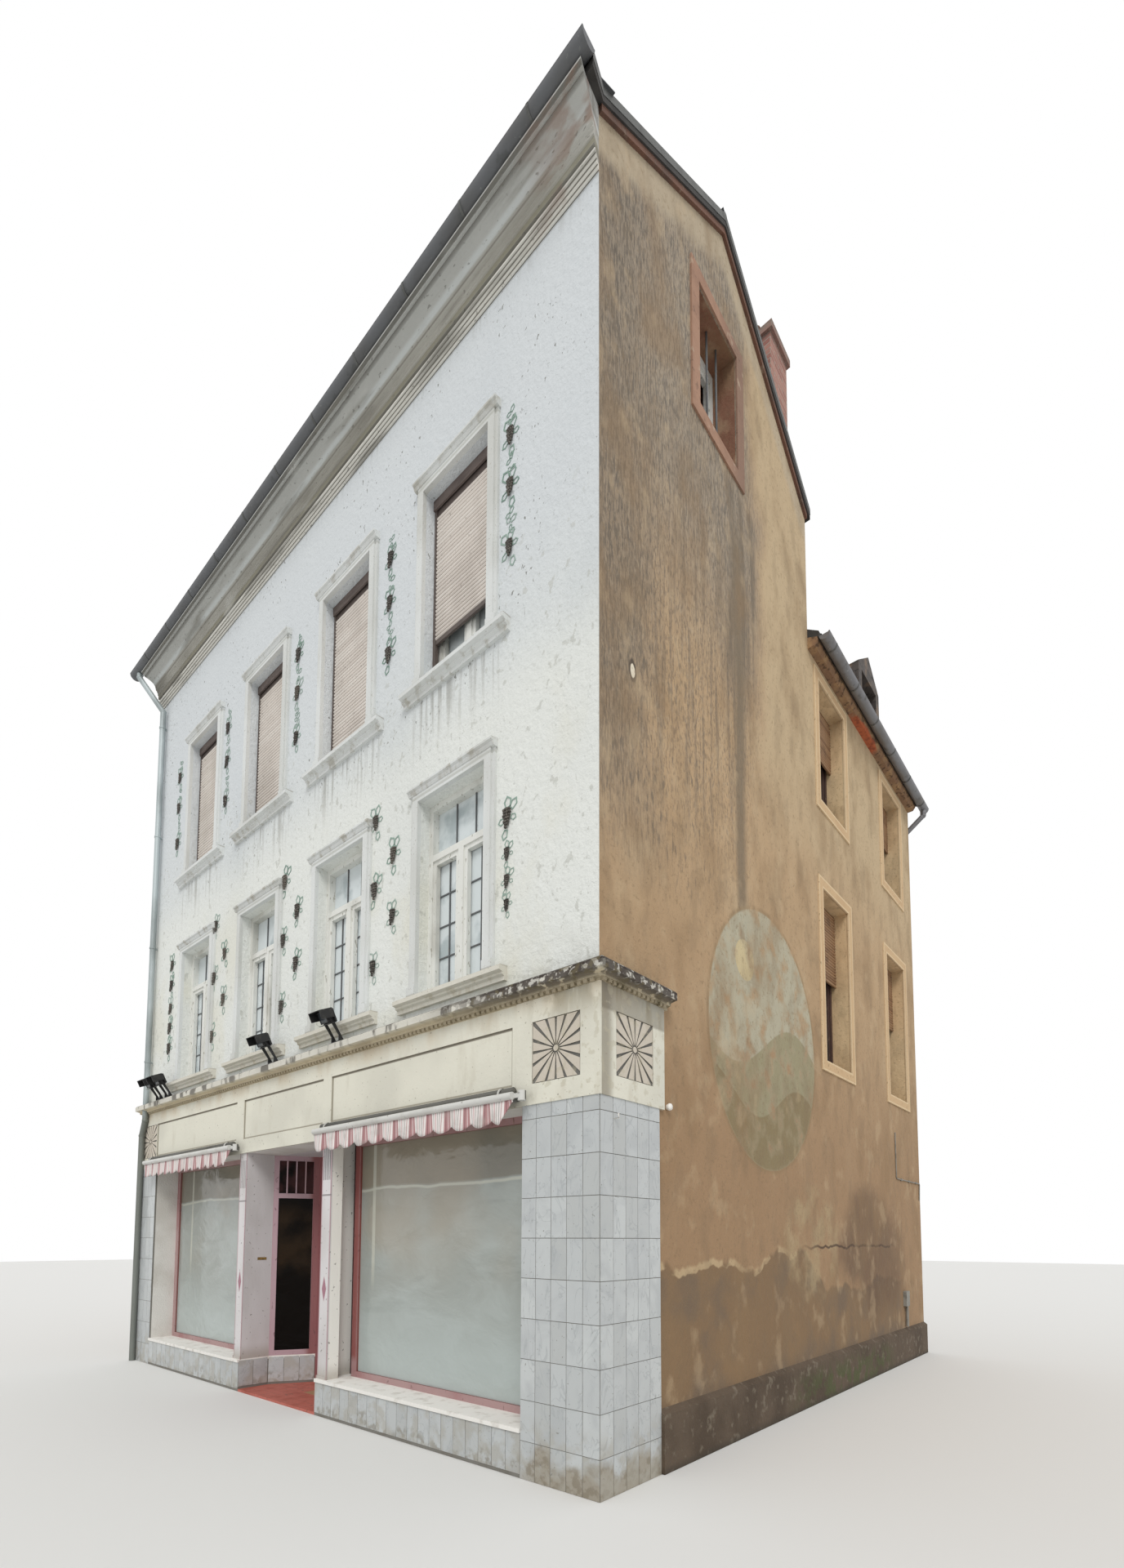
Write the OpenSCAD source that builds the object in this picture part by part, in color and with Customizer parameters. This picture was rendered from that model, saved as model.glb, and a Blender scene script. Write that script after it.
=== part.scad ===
// Corner shop with dwelling above: a tall gabled block on the street, a lower wing behind it,
// and a tiled shop front with a splayed entrance recess. Millimetres, +X along the street front
// towards the street corner, +Y into the building, +Z up. The origin is on the ground, halfway
// along the front and halfway through the depth of the main block.

/* [Plan] */
// Width of the street front
front_w = 8700; // [8200:50:9600]
// Depth of the main block, front face to rear face
main_d = 4100; // [3900:50:4600]
// Length of the rear wing
wing_l = 4300; // [4100:50:5000]
// Width of the rear wing
wing_w = 4000; // [3600:50:4400]
// Thickness of the outer walls
wall_t = 400; // [340:10:460]
// Thickness of the party wall on the left
party_t = 300; // [200:10:400]

/* [Heights] */
// Top of the ground floor slab
ground_floor_t = 60; // [40:5:100]
// Underside of the shop lintel and fascia
shop_head_z = 2805; // [2700:5:2900]
// Height of the fascia over the shop
fascia_h = 815; // [760:5:860]
// Height of the shop cornice
shop_cornice_h = 140; // [110:5:170]
// Rise of the first floor above the shop lintel's underside
first_floor_up = 415; // [370:5:460]
// Height from the first floor to the second
first_storey_h = 2980; // [2900:10:3250]
// Height from the second floor to the attic floor
second_storey_h = 3050; // [2950:10:3300]
// Thickness of an upper floor
slab_t = 220; // [160:10:260]
// Height of the front wall above the attic floor
knee_h = 1410; // [1300:10:1500]
// Rise of the main ridge above the front wall
roof_rise = 1500; // [1400:10:1700]
// Distance of the ridge behind the front face
ridge_y = 2030; // [1850:10:2200]
// Drop of the rear eave below the ridge
rear_drop = 1370; // [1250:10:1500]
// Drop of the wing's wall top below the attic floor
wing_drop = 170; // [120:10:230]
// Pitch of the wing roof in degrees
wing_pitch = 35; // [33:1:38]
// Thickness of the roofs, measured upright
roof_t = 110; // [90:5:140]

/* [Upper windows] */
// Width of a window opening in the front
win_w = 900; // [820:10:980]
// Distance from the street corner to the first window axis
win_first = 1650; // [1500:10:1750]
// Distance between window axes
win_step = 1790; // [1700:10:1850]
// Number of windows in a row
win_n = 4; // [3:1:4]
// Sill height above the first floor
first_sill_h = 760; // [720:10:840]
// Height of the first floor windows
first_win_h = 1840; // [1700:10:1900]
// Sill height above the second floor
second_sill_h = 770; // [720:10:840]
// Height of the second floor windows
second_win_h = 1940; // [1800:10:2000]
// Depth of the reveal in front of a window or shutter
reveal = 100; // [80:5:140]
// Width of the moulded band round a window
band_w = 112; // [90:2:130]
// Gap between the last slat and the sill at the raised shutter
shutter_gap = 470; // [200:10:600]

/* [Shop front] */
// Width of the tiled corner pier on both faces
pier_w = 740; // [680:10:800]
// Width of the left pier
left_pier_w = 556; // [480:10:600]
// Width of the right shop window
right_window_w = 2740; // [2400:10:2800]
// Width of the entrance between the posts
entrance_w = 1700; // [1600:10:1800]
// Width and depth of an entrance post
post_w = 175; // [150:5:190]
// Depth of the shop window frames behind the front
shop_reveal = 280; // [240:5:320]
// Depth of the entrance recess
recess_d = 790; // [720:10:860]
// Sideways run of the splayed lights
splay = 280; // [200:10:300]
// Height of the stall risers under the windows
riser_h = 330; // [300:5:360]
// Thickness of the sill slabs on the risers
sill_t = 35; // [25:5:45]
// Underside of the transom in the entrance
transom_z = 2280; // [2200:10:2340]
// Width of the entrance door leaf
door_w = 880; // [820:10:900]
// Visible width of the painted window frames
frame_w = 60; // [50:5:70]
// Thickness of the tile and stone facing on the shop front
facing_t = 20; // [12:2:26]
// Projection of the shop cornice
shop_cornice_p = 125; // [115:5:150]

/* [Roof edge] */
// Projection of the main cornice
cornice_p = 340; // [310:5:370]
// Height of the main cornice
cornice_h = 405; // [370:5:430]
// Distance of the cornice's foot below the top of the front wall
cornice_down = 560; // [550:5:600]
// Sideways run of the cornice's splayed end at the gable
cornice_splay = 95; // [60:5:110]
// Distance of the roof's front edge from the front face
front_eave = 250; // [230:5:280]
// Radius of the front gutter
front_gutter_r = 75; // [65:5:80]
// Radius of the gutters of the wing
gutter_r = 65; // [50:5:75]
// Radius of the downpipes
pipe_r = 40; // [35:5:45]
// Projection of the wing's stone eave
eave_p = 120; // [90:5:150]
// Height of the wing's stone eave
eave_h = 140; // [110:5:170]
// Overhang of the roof at the gable
verge_p = 45; // [35:5:70]

/* [Side] */
// Height of the plinth along the side
plinth_h = 480; // [420:10:540]
// Projection of the plinth
plinth_p = 50; // [30:5:70]
// Width of the attic window opening
attic_win_w = 760; // [700:10:820]
// Height of the attic window opening
attic_win_h = 1260; // [1150:10:1300]
// Middle of the attic window behind the front face
attic_win_y = 1900; // [1750:10:2050]
// Sill height above the attic floor
attic_sill_h = 370; // [300:10:420]
// Width of the wing's window openings
wing_win_w = 880; // [800:10:920]
// Distance of the wing's first window axis from the main block
wing_win_near = 740; // [700:10:800]
// Distance of the wing's second window axis from its end
wing_win_far = 1030; // [900:10:1150]
// Sill height of the wing's windows above the first floor
wing_first_sill_h = 700; // [650:10:800]
// Height of the wing's first floor windows
wing_first_h = 2130; // [1950:10:2200]
// Sill height of the wing's windows above the second floor
wing_second_sill_h = 980; // [900:10:1050]
// Height of the wing's second floor windows
wing_second_h = 1550; // [1400:10:1600]
// Distance of the rear windows from the party wall and from the wing
rear_win_in = 1150; // [1000:10:1300]
// Width of the stone band round the wing's windows
wing_band = 130; // [100:5:150]
// Width and length of the chimney
chimney_w = 460; // [400:10:480]
// Rise of the chimney above the ridge
chimney_rise = 450; // [350:10:600]
// Distance of the chimney's middle from the rear face
chimney_back = 460; // [400:10:600]
// Width of the small dormer on the wing
dormer_w = 900; // [800:10:1000]
// Middle of the dormer behind the front face
dormer_y = 6350; // [5900:50:6900]
// Height of the dormer above the wing's eave
dormer_h = 1220; // [1050:10:1300]
// Rise of the dormer's gable
dormer_gable = 330; // [250:10:400]

/* [Awnings] */
// Distance of the awning bar from the front face
awning_p = 150; // [120:5:180]
// Radius of the awning bar
bar_r = 30; // [24:1:34]
// Drop of the scalloped valance
valance_h = 185; // [150:5:220]
// Width of one scallop
scallop_w = 235; // [200:5:260]

/* [Hidden] */
$fn = 48;

// Places that follow from the sizes above. Depths count from the front face
front_y = -main_d / 2;
corner_x = front_w / 2;
total_d = main_d + wing_l;
cut = 20;
fascia_top_z = shop_head_z + fascia_h;
first_floor_z = shop_head_z + first_floor_up;
second_floor_z = first_floor_z + first_storey_h;
attic_floor_z = second_floor_z + second_storey_h;
front_top_z = attic_floor_z + knee_h;
ridge_z = front_top_z + roof_rise;
rear_eave_z = ridge_z - rear_drop;
first_sill_z = first_floor_z + first_sill_h;
second_sill_z = second_floor_z + second_sill_h;
attic_sill_z = attic_floor_z + attic_sill_h;
chimney_z = ridge_z + chimney_rise;
wing_top_z = attic_floor_z - wing_drop;
front_slope = (ridge_z - roof_t - front_top_z) / ridge_y;
rear_slope = (ridge_z - rear_eave_z) / (main_d - ridge_y);
cornice_z = front_top_z - cornice_down;
cornice_top_z = cornice_z + cornice_h;
rear_over = 60;
seat = 0.3;
wing_x = corner_x - wing_w;
wing_mid_x = corner_x - wing_w / 2;
wing_rise = tan(wing_pitch);
wing_ridge_z = wing_top_z + roof_t + wing_w / 2 * wing_rise;
wing_over = eave_p + 20;
wing_edge_t = 70;
wing_edge_z = wing_top_z + roof_t - wing_over * wing_rise;
sill_z = riser_h + sill_t;
shop_back = shop_reveal + frame_w;

// Shop front lines from the corner to the left
right_window_r = corner_x - pier_w;
right_window_l = right_window_r - right_window_w;
entrance_r = right_window_l - post_w;
entrance_l = entrance_r - entrance_w;
entrance_x = (entrance_l + entrance_r) / 2;
left_window_r = entrance_l - post_w;
left_window_l = -front_w / 2 + left_pier_w;
door_frame_d = 60;
recess_back = recess_d + door_frame_d;

// Wing and court window axes
casement_d = 70;
shutter_d = 60;
wing_reveal = 230;
front_light_h = 480;
rear_light_h = 400;
attic_light_h = 60;
wing_win_y = [main_d + wing_win_near, total_d - wing_win_far];
wing_first_z = first_floor_z + wing_first_sill_h;
wing_second_z = second_floor_z + wing_second_sill_h;
rear_win_x = [-front_w / 2 + rear_win_in, wing_x - rear_win_in];

module block(low, high) { translate(low) cube(high - low); }
// A profile of points (depth, height), run along X
module along_x(x0, x1) { translate([x0, 0, 0]) rotate([90, 0, 90]) linear_extrude(x1 - x0) children(); }
// A profile of points (x, height), run along Y
module along_y(y0, y1) { translate([0, y1, 0]) rotate([90, 0, 0]) linear_extrude(y1 - y0) children(); }
// A plan of points (x, depth), run upright
module upright(z0, z1) { translate([0, 0, z0]) linear_extrude(z1 - z0) children(); }
module from_front() { translate([0, front_y, 0]) children(); }

// The front wall meets the gable wall on a mitre through the street corner
module front_of_mitre(p, z0, z1) {
    upright(z0, z1) polygon([[-front_w / 2 - p - cut, -p], [corner_x + p, -p],
        [corner_x - wall_t - cut, wall_t + cut], [-front_w / 2 - p - cut, wall_t + cut]]);
}
module side_of_mitre(p, z0, z1) {
    upright(z0, z1) polygon([[corner_x + p, -p], [corner_x + p, total_d + cut],
        [corner_x - wall_t - cut, total_d + cut], [corner_x - wall_t - cut, wall_t + cut]]);
}
module front_axes() {
    for (i = [0 : win_n - 1]) translate([corner_x - win_first - i * win_step, 0, 0]) children();
}

// The window openings, each as seen from outside: the child stands on the sill and depth runs into the wall
module storeys(first_z, first_h, second_z, second_h) {
    translate([0, 0, first_z]) { $h = first_h; $behind = 0; children(); }
    translate([0, 0, second_z]) { $h = second_h; $behind = shutter_d; children(); }
}
module front_openings() {
    front_axes() storeys(first_sill_z, first_win_h, second_sill_z, second_win_h) children();
}
module rear_openings() {
    for (x = rear_win_x) translate([x, main_d, 0]) rotate([0, 0, 180])
        storeys(first_sill_z, first_win_h, second_sill_z, second_win_h) children();
}
module wing_openings() {
    for (y = wing_win_y) translate([corner_x, y, 0]) rotate([0, 0, 90])
        storeys(wing_first_z, wing_first_h, wing_second_z, wing_second_h) children();
}
module court_openings() {
    for (y = wing_win_y) translate([wing_x, y, 0]) rotate([0, 0, -90])
        storeys(wing_first_z, wing_first_h, wing_second_z, wing_second_h) children();
}
module attic_opening() { translate([corner_x, attic_win_y, attic_sill_z]) rotate([0, 0, 90]) children(); }
// Cutter for an opening of width w and height h through an outer wall
module hole(w, h) { block([-w / 2, -cut, 0], [w / 2, wall_t + cut, h]); }

// Floors
module ground_floor() {
    inner_l = -front_w / 2 + party_t;
    inner_r = corner_x - wall_t;
    color("tan") from_front() {
        upright(0, ground_floor_t) polygon([[inner_l, wall_t], [inner_l, main_d - wall_t],
            [inner_r, main_d - wall_t], [inner_r, wall_t],
            [right_window_r, wall_t], [right_window_r, shop_back], [entrance_r + frame_w, shop_back],
            [entrance_r - splay + frame_w, recess_d], [entrance_r - splay + frame_w, recess_back],
            [entrance_l + splay - frame_w, recess_back], [entrance_l + splay - frame_w, recess_d],
            [entrance_l - frame_w, shop_back], [left_window_l, shop_back], [left_window_l, wall_t]]);
        block([wing_x + wall_t, main_d, 0], [corner_x - wall_t, total_d - wall_t, ground_floor_t]);
    }
}
module upper_floors() {
    color("burlywood") from_front() {
        for (z = [first_floor_z, second_floor_z, attic_floor_z])
            block([-front_w / 2 + party_t, wall_t, z - slab_t], [corner_x - wall_t, main_d - wall_t, z]);
        for (z = [first_floor_z, second_floor_z])
            block([wing_x + wall_t, main_d, z - slab_t], [corner_x - wall_t, total_d - wall_t, z]);
    }
}

// Masonry of the main block
module front_piers() {
    color("gainsboro") from_front() {
        intersection() {
            block([corner_x - pier_w, 0, 0], [corner_x, wall_t, shop_head_z]);
            front_of_mitre(0, 0, shop_head_z);
        }
        block([-front_w / 2, 0, 0], [left_window_l, wall_t, shop_head_z]);
    }
}
module shop_lintel() {
    color("linen") from_front() intersection() {
        block([-front_w / 2, 0, shop_head_z], [corner_x, wall_t, fascia_top_z]);
        front_of_mitre(0, shop_head_z, fascia_top_z);
    }
}
module front_wall() {
    inner_top_z = front_top_z + wall_t * front_slope;
    color("whitesmoke") from_front() difference() {
        intersection() {
            along_x(-front_w / 2, corner_x) polygon([[0, fascia_top_z], [wall_t, fascia_top_z],
                [wall_t, inner_top_z], [0, front_top_z]]);
            front_of_mitre(0, fascia_top_z, inner_top_z);
        }
        front_openings() hole(win_w, $h);
    }
}
// Outline of the gable under the roof, as (depth, height)
module gable_outline(y0, y1) {
    polygon([[y0, 0], [y0, front_top_z + y0 * front_slope], [ridge_y, ridge_z - roof_t],
        [y1, ridge_z - roof_t - (y1 - ridge_y) * rear_slope], [y1, 0]]);
}
module gable_wall() {
    color("rosybrown") from_front() difference() {
        intersection() {
            along_x(corner_x - wall_t, corner_x) gable_outline(0, main_d);
            side_of_mitre(0, 0, ridge_z);
        }
        attic_opening() hole(attic_win_w, attic_win_h);
    }
}
module party_wall() {
    color("silver") from_front() along_x(-front_w / 2, -front_w / 2 + party_t)
        gable_outline(wall_t, main_d);
}
module rear_wall() {
    top_z = ridge_z - roof_t - (main_d - ridge_y) * rear_slope;
    inner_y = main_d - wall_t;
    color("rosybrown") from_front() difference() {
        along_x(-front_w / 2 + party_t, corner_x - wall_t)
            polygon([[inner_y, 0], [inner_y, top_z + wall_t * rear_slope], [main_d, top_z], [main_d, 0]]);
        rear_openings() hole(wing_win_w, $h);
    }
}

// Masonry of the wing
// Outline of a wing wall under its roof, as (distance inwards, height)
module wing_wall_outline() {
    polygon([[0, 0], [0, wing_top_z], [wall_t, wing_top_z + wall_t * wing_rise], [wall_t, 0]]);
}
module wing_side_wall() {
    color("rosybrown") from_front() difference() {
        translate([corner_x, 0, 0]) along_y(main_d, total_d) mirror([1, 0]) wing_wall_outline();
        wing_openings() hole(wing_win_w, $h);
    }
}
module wing_court_wall() {
    color("rosybrown") from_front() difference() {
        translate([wing_x, 0, 0]) along_y(main_d, total_d) wing_wall_outline();
        court_openings() hole(wing_win_w, $h);
    }
}
module wing_end_wall() {
    inner = wing_w / 2 - wall_t;
    shoulder_z = wing_top_z + wall_t * wing_rise;
    color("rosybrown") from_front() translate([wing_mid_x, 0, 0]) along_y(total_d - wall_t, total_d)
        polygon([[-inner, 0], [-inner, shoulder_z], [0, wing_ridge_z - roof_t], [inner, shoulder_z],
            [inner, 0]]);
}

// Roofs
// The front eave runs out with the cornice's splayed end
module roof_front() {
    right_x = corner_x + verge_p;
    splay_x = right_x + cornice_splay;
    color("dimgray") from_front() intersection() {
        along_x(-front_w / 2, splay_x) polygon([[-front_eave, cornice_top_z], [0, front_top_z],
            [ridge_y, ridge_z - roof_t], [ridge_y, ridge_z], [0, front_top_z + roof_t],
            [-front_eave, cornice_top_z + roof_t]]);
        upright(cornice_z, ridge_z + cut) polygon([[-front_w / 2, -front_eave], [splay_x, -front_eave],
            [right_x, 0], [right_x, ridge_y], [-front_w / 2, ridge_y]]);
    }
}
module rear_roof_outline() {
    edge_z = rear_eave_z - rear_over * rear_slope;
    polygon([[ridge_y, ridge_z - roof_t], [ridge_y, ridge_z], [main_d + rear_over, edge_z],
        [main_d + rear_over, edge_z - roof_t]]);
}
module roof_rear() {
    color("dimgray") from_front() along_x(-front_w / 2, corner_x + verge_p) rear_roof_outline();
}
// Everything below the top of the main roof's rear slope, which the wing roof and the chimney meet
module under_rear_roof() {
    edge_z = rear_eave_z - rear_over * rear_slope;
    along_x(-front_w, front_w) polygon([[ridge_y, 0], [ridge_y, ridge_z], [main_d + rear_over, edge_z],
        [main_d + rear_over, edge_z - roof_t], [main_d, rear_eave_z - roof_t - rear_over], [main_d, 0]]);
}
module wing_slope(side) {
    valley_y = main_d - max(0, wing_ridge_z - rear_eave_z) / rear_slope - cut;
    difference() {
        along_y(valley_y, total_d + rear_over) translate([wing_mid_x, 0]) polygon([
            [0, wing_ridge_z - roof_t], [0, wing_ridge_z],
            [side * (wing_w / 2 + wing_over), wing_edge_z],
            [side * (wing_w / 2 + wing_over), wing_edge_z - wing_edge_t],
            [side * wing_w / 2, wing_top_z]]);
        under_rear_roof();
    }
}
module wing_roof_street() { color("dimgray") from_front() wing_slope(1); }
module wing_roof_court() { color("dimgray") from_front() wing_slope(-1); }
module chimney() {
    cap_h = 90;
    cap_over = 35;
    brick = 100;
    flue_d = 250;
    half = chimney_w / 2;
    color("indianred") from_front() difference() {
        translate([corner_x - brick - half, main_d - chimney_back, 0]) difference() {
            union() {
                block([-half, -half, attic_floor_z], [half, half, chimney_z]);
                block([-half - cap_over, -half - cap_over, chimney_z - cap_h],
                    [half + cap_over, half + cap_over, chimney_z]);
            }
            block([brick - half, brick - half, chimney_z - flue_d],
                [half - brick, half - brick, chimney_z + cut]);
        }
        under_rear_roof();
    }
}
module dormer() {
    front_x = corner_x + 40;
    dormer_z = wing_edge_z + dormer_h;
    shoulder_z = dormer_z - dormer_gable;
    low_z = wing_top_z - 100;
    jamb = 130;
    light_d = 160;
    light_sill = 230;
    half = dormer_w / 2;
    color("saddlebrown") from_front() translate([0, dormer_y, 0]) difference() {
        along_x(wing_mid_x, front_x)
            polygon([[-half, low_z], [-half, shoulder_z], [0, dormer_z], [half, shoulder_z],
                [half, low_z]]);
        along_y(-dormer_w, dormer_w) polygon([[wing_mid_x - cut, 0], [wing_mid_x - cut, wing_ridge_z],
            [wing_mid_x, wing_ridge_z], [corner_x + wing_over, wing_edge_z], [corner_x + wing_over, 0]]);
        block([front_x - light_d, jamb - half, wing_edge_z + light_sill],
            [front_x + cut, half - jamb, shoulder_z - jamb / 2]);
    }
}

// Eaves, gutters and pipes
// Outline of the cornice upwards from the wall, in shares of its projection and height: four fillets,
// a flat band between grooves, a bead, the cove, and two fillets under the gutter
module cornice_profile() {
    fillet = [0.056, 0.054];
    fillets = [for (i = [1 : 4]) each [[i * fillet.x, (i - 1) * fillet.y], [i * fillet.x, i * fillet.y]]];
    band = [[0.19, 0.23], [0.19, 0.26], [0.265, 0.26], [0.265, 0.395], [0.295, 0.41], [0.295, 0.485],
        [0.33, 0.51], [0.33, 0.55], [0.38, 0.575], [0.395, 0.645]];
    cove_foot = [0.405, 0.655];
    cove_top = [0.86, 0.87];
    steps = 10;
    cove_size = cove_top - cove_foot;
    cove = [for (i = [0 : steps]) let (a = 90 * i / steps)
        cove_foot + [cove_size.x * (1 - cos(a)), cove_size.y * sin(a)]];
    rim = [[0.86, 0.9], [0.92, 0.9], [0.92, 0.94], [1, 0.95], [1, 1]];
    outline = concat([[0, 0]], fillets, band, cove, rim);
    polygon(concat([for (q = outline) [-q.x * cornice_p, cornice_z + q.y * cornice_h]],
        [[-front_eave, cornice_top_z], [0, front_top_z]]));
}
// Its right end splays out from the gable
module main_cornice() {
    color("darkgray") from_front() intersection() {
        along_x(-front_w / 2, corner_x + cornice_splay) cornice_profile();
        upright(cornice_z, front_top_z) polygon([[-front_w / 2, 0], [-front_w / 2, -cornice_p],
            [corner_x + cornice_splay, -cornice_p], [corner_x, 0]]);
    }
}
// Half-round trough with rolled lip, as (depth, height) about its own rim centre
module trough(r) {
    wall = 8;
    difference() {
        circle(r);
        circle(r - wall);
        translate([-2 * r, 0]) square([4 * r, 2 * r]);
    }
    translate([-r + wall, 0]) circle(wall + 2);
}
module trough_ends(r, run) {
    end_t = 8;
    for (x = [0, run - end_t]) along_x(x, x + end_t) difference() {
        circle(r);
        translate([-2 * r, 0]) square([4 * r, 2 * r]);
    }
}
gutter_up = 95;
gutter_y = -front_eave - front_gutter_r - seat;
gutter_z = cornice_top_z + gutter_up;
strap_in = 300;
strap_step = 800;
module front_gutter() {
    reach_l = 300;
    reach_r = verge_p + cornice_splay + 20;
    strap = 24;
    run = front_w + reach_l + reach_r;
    color("slategray") from_front() translate([0, gutter_y, gutter_z]) {
        translate([-front_w / 2 - reach_l, 0, 0]) {
            along_x(0, run) trough(front_gutter_r);
            trough_ends(front_gutter_r, run);
        }
        for (x = [strap_in - front_w / 2 : strap_step : corner_x - strap_in])
            translate([x, 0, -front_gutter_r])
            block([-strap / 2, 0, -4], [strap / 2, front_gutter_r + seat, 2]);
    }
}
// A round pipe through a list of points, with a swelled socket at each bend
module pipe(points, r) {
    for (i = [0 : len(points) - 2]) {
        run = points[i + 1] - points[i];
        flat = norm([run.x, run.y]);
        translate(points[i]) rotate([0, atan2(flat, run.z), atan2(run.y, run.x)])
            cylinder(r = r, h = norm(run));
        if (i > 0) translate(points[i]) sphere(r + socket_t);
    }
}
socket_t = 4;
pipe_x = -front_w / 2 + 165;
pipe_gap = 25;
outlet_r = 40;
outlet_gap = 20;
module front_downpipe() {
    top_x = -front_w / 2 - pipe_r - 60;
    top_z = gutter_z - front_gutter_r;
    y = -pipe_r - pipe_gap;
    low_x = -front_w / 2 + pipe_r + 20;
    neck_h = 60;
    neck_drop = 170;
    offset_top = 90;
    offset_foot = 310;
    clip_h = 24;
    clip_step = 1750;
    first_clip_up = 1180;
    last_clip_down = 400;
    color("slategray") from_front() {
        pipe([[top_x, gutter_y, top_z - 2], [top_x, gutter_y, top_z - neck_h],
            [pipe_x, y, cornice_z - neck_drop], [pipe_x, y, fascia_top_z - offset_top],
            [low_x, y, fascia_top_z - offset_foot], [low_x, y, 0]], pipe_r);
        for (z = [first_floor_z + first_clip_up : clip_step : cornice_z - last_clip_down]) {
            translate([pipe_x, y, z]) cylinder(r = pipe_r + 6, h = clip_h);
            block([pipe_x - 8, y, z], [pipe_x + 8, 0, z + clip_h]);
        }
    }
}
module verge_boards() {
    drop = 65;
    board = 30;
    top_z = ridge_z - roof_t;
    rear_z = top_z - (main_d - ridge_y) * rear_slope;
    color("saddlebrown") from_front() along_x(corner_x, corner_x + board) polygon([
        [0, front_top_z - drop], [ridge_y, top_z - drop], [main_d, rear_z - drop],
        [main_d, rear_z], [ridge_y, top_z], [0, front_top_z]]);
}
module wing_eave() {
    under = (wing_edge_z - wing_edge_t - wing_top_z) / wing_over;
    splay_p = 0.7 * eave_p;
    splay_h = eave_h / 3;
    color("tan") from_front() along_y(main_d, total_d) translate([corner_x, wing_top_z])
        polygon([[0, -eave_h], [splay_p, -eave_h], [eave_p, splay_h - eave_h],
            [eave_p, eave_p * under], [0, 0]]);
}
// A gutter along the right of a line of length run, which heads along +Y from the given point on the eave
module eave_gutter(run, outlet) {
    stub_h = 58;
    translate([gutter_r + seat, 0, 0]) {
        rotate([0, 0, 90]) {
            along_x(0, run) trough(gutter_r);
            trough_ends(gutter_r, run);
        }
        translate([0, outlet, 3 - gutter_r - stub_h]) cylinder(r = outlet_r + 6, h = stub_h);
    }
}
module wing_gutters() {
    rim_z = wing_edge_z - wing_edge_t;
    stub_z = rim_z - gutter_r;
    street_x = corner_x + wing_over;
    court_x = wing_x - wing_over;
    far_y = total_d + rear_over + 20;
    back_y = main_d + rear_over;
    back_z = rear_eave_z - rear_over * rear_slope - wing_edge_t;
    end_gap = 5;
    neck_y = far_y + 65;
    neck_x = corner_x - 120;
    street_run = far_y - main_d + 160;
    court_run = far_y - back_y - end_gap;
    down_y = total_d + outlet_r + outlet_gap;
    down_x = wing_x - outlet_r - outlet_gap;
    seated = 35;
    neck_h = 75;
    swan_top = 385;
    swan_foot = 615;
    court_foot = 315;
    court_in = 160;
    court_outlet = 200;
    color("slategray") from_front() {
        translate([street_x, main_d + end_gap, rim_z]) eave_gutter(street_run, neck_y - main_d - end_gap);
        pipe([[street_x + gutter_r + seat, neck_y, stub_z - seated],
            [street_x + gutter_r + seat, neck_y, stub_z - neck_h],
            [neck_x, far_y - 20, stub_z - swan_top], [neck_x, down_y, stub_z - swan_foot],
            [neck_x, down_y, 0]], outlet_r);
        translate([court_x, far_y, rim_z]) rotate([0, 0, 180]) eave_gutter(court_run, court_run - 195);
        translate([court_x - 10, back_y, back_z]) rotate([0, 0, 90])
            eave_gutter(court_x - 10 + front_w / 2, 260);
        pipe([[court_x - gutter_r - seat, back_y + court_outlet, stub_z - seated],
            [court_x - gutter_r - seat, back_y + court_outlet, stub_z - neck_h],
            [down_x, back_y + court_in, stub_z - court_foot], [down_x, back_y + court_in, 0]], outlet_r);
    }
}

// Windows of the street front
module surround(h) {
    half = win_w / 2;
    flat_p = 26;
    roll_p = 44;
    roll_in = 0.3 * band_w;
    block_p = 52;
    block_h = 95;
    cap_w = half + band_w + 12;
    cap_z = h + band_w;
    difference() {
        union() {
            block([-half - band_w, -flat_p, 0], [half + band_w, 0, cap_z - 30]);
            block([roll_in - half - band_w, -roll_p, 0], [half + band_w - roll_in, 0, cap_z - 40]);
        }
        block([-half, -cut - roll_p, -cut], [half, cut, h]);
    }
    along_x(-cap_w, cap_w) polygon([[0, cap_z - 40], [-50, cap_z - 40], [-62, cap_z - 22],
        [-62, cap_z - 10], [-80, cap_z], [-80, cap_z + 18], [0, cap_z + 40]]);
    for (side = [-1, 1]) translate([side * (half + band_w / 2), 0, 0])
        block([-band_w / 2, -block_p, 0], [band_w / 2, 0, block_h]);
}
// Moulded sill, with its top at height zero
sill_over = 148;
module sill() {
    half = win_w / 2 + band_w + sill_over;
    along_x(-half, half) polygon([[0, 0], [0, -125], [-34, -125], [-34, -92], [-58, -80], [-58, -62],
        [-95, -52], [-95, -14], [-80, -6]]);
}
module window_surrounds() {
    color("white") from_front() front_openings() {
        surround($h);
        sill();
    }
}
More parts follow.
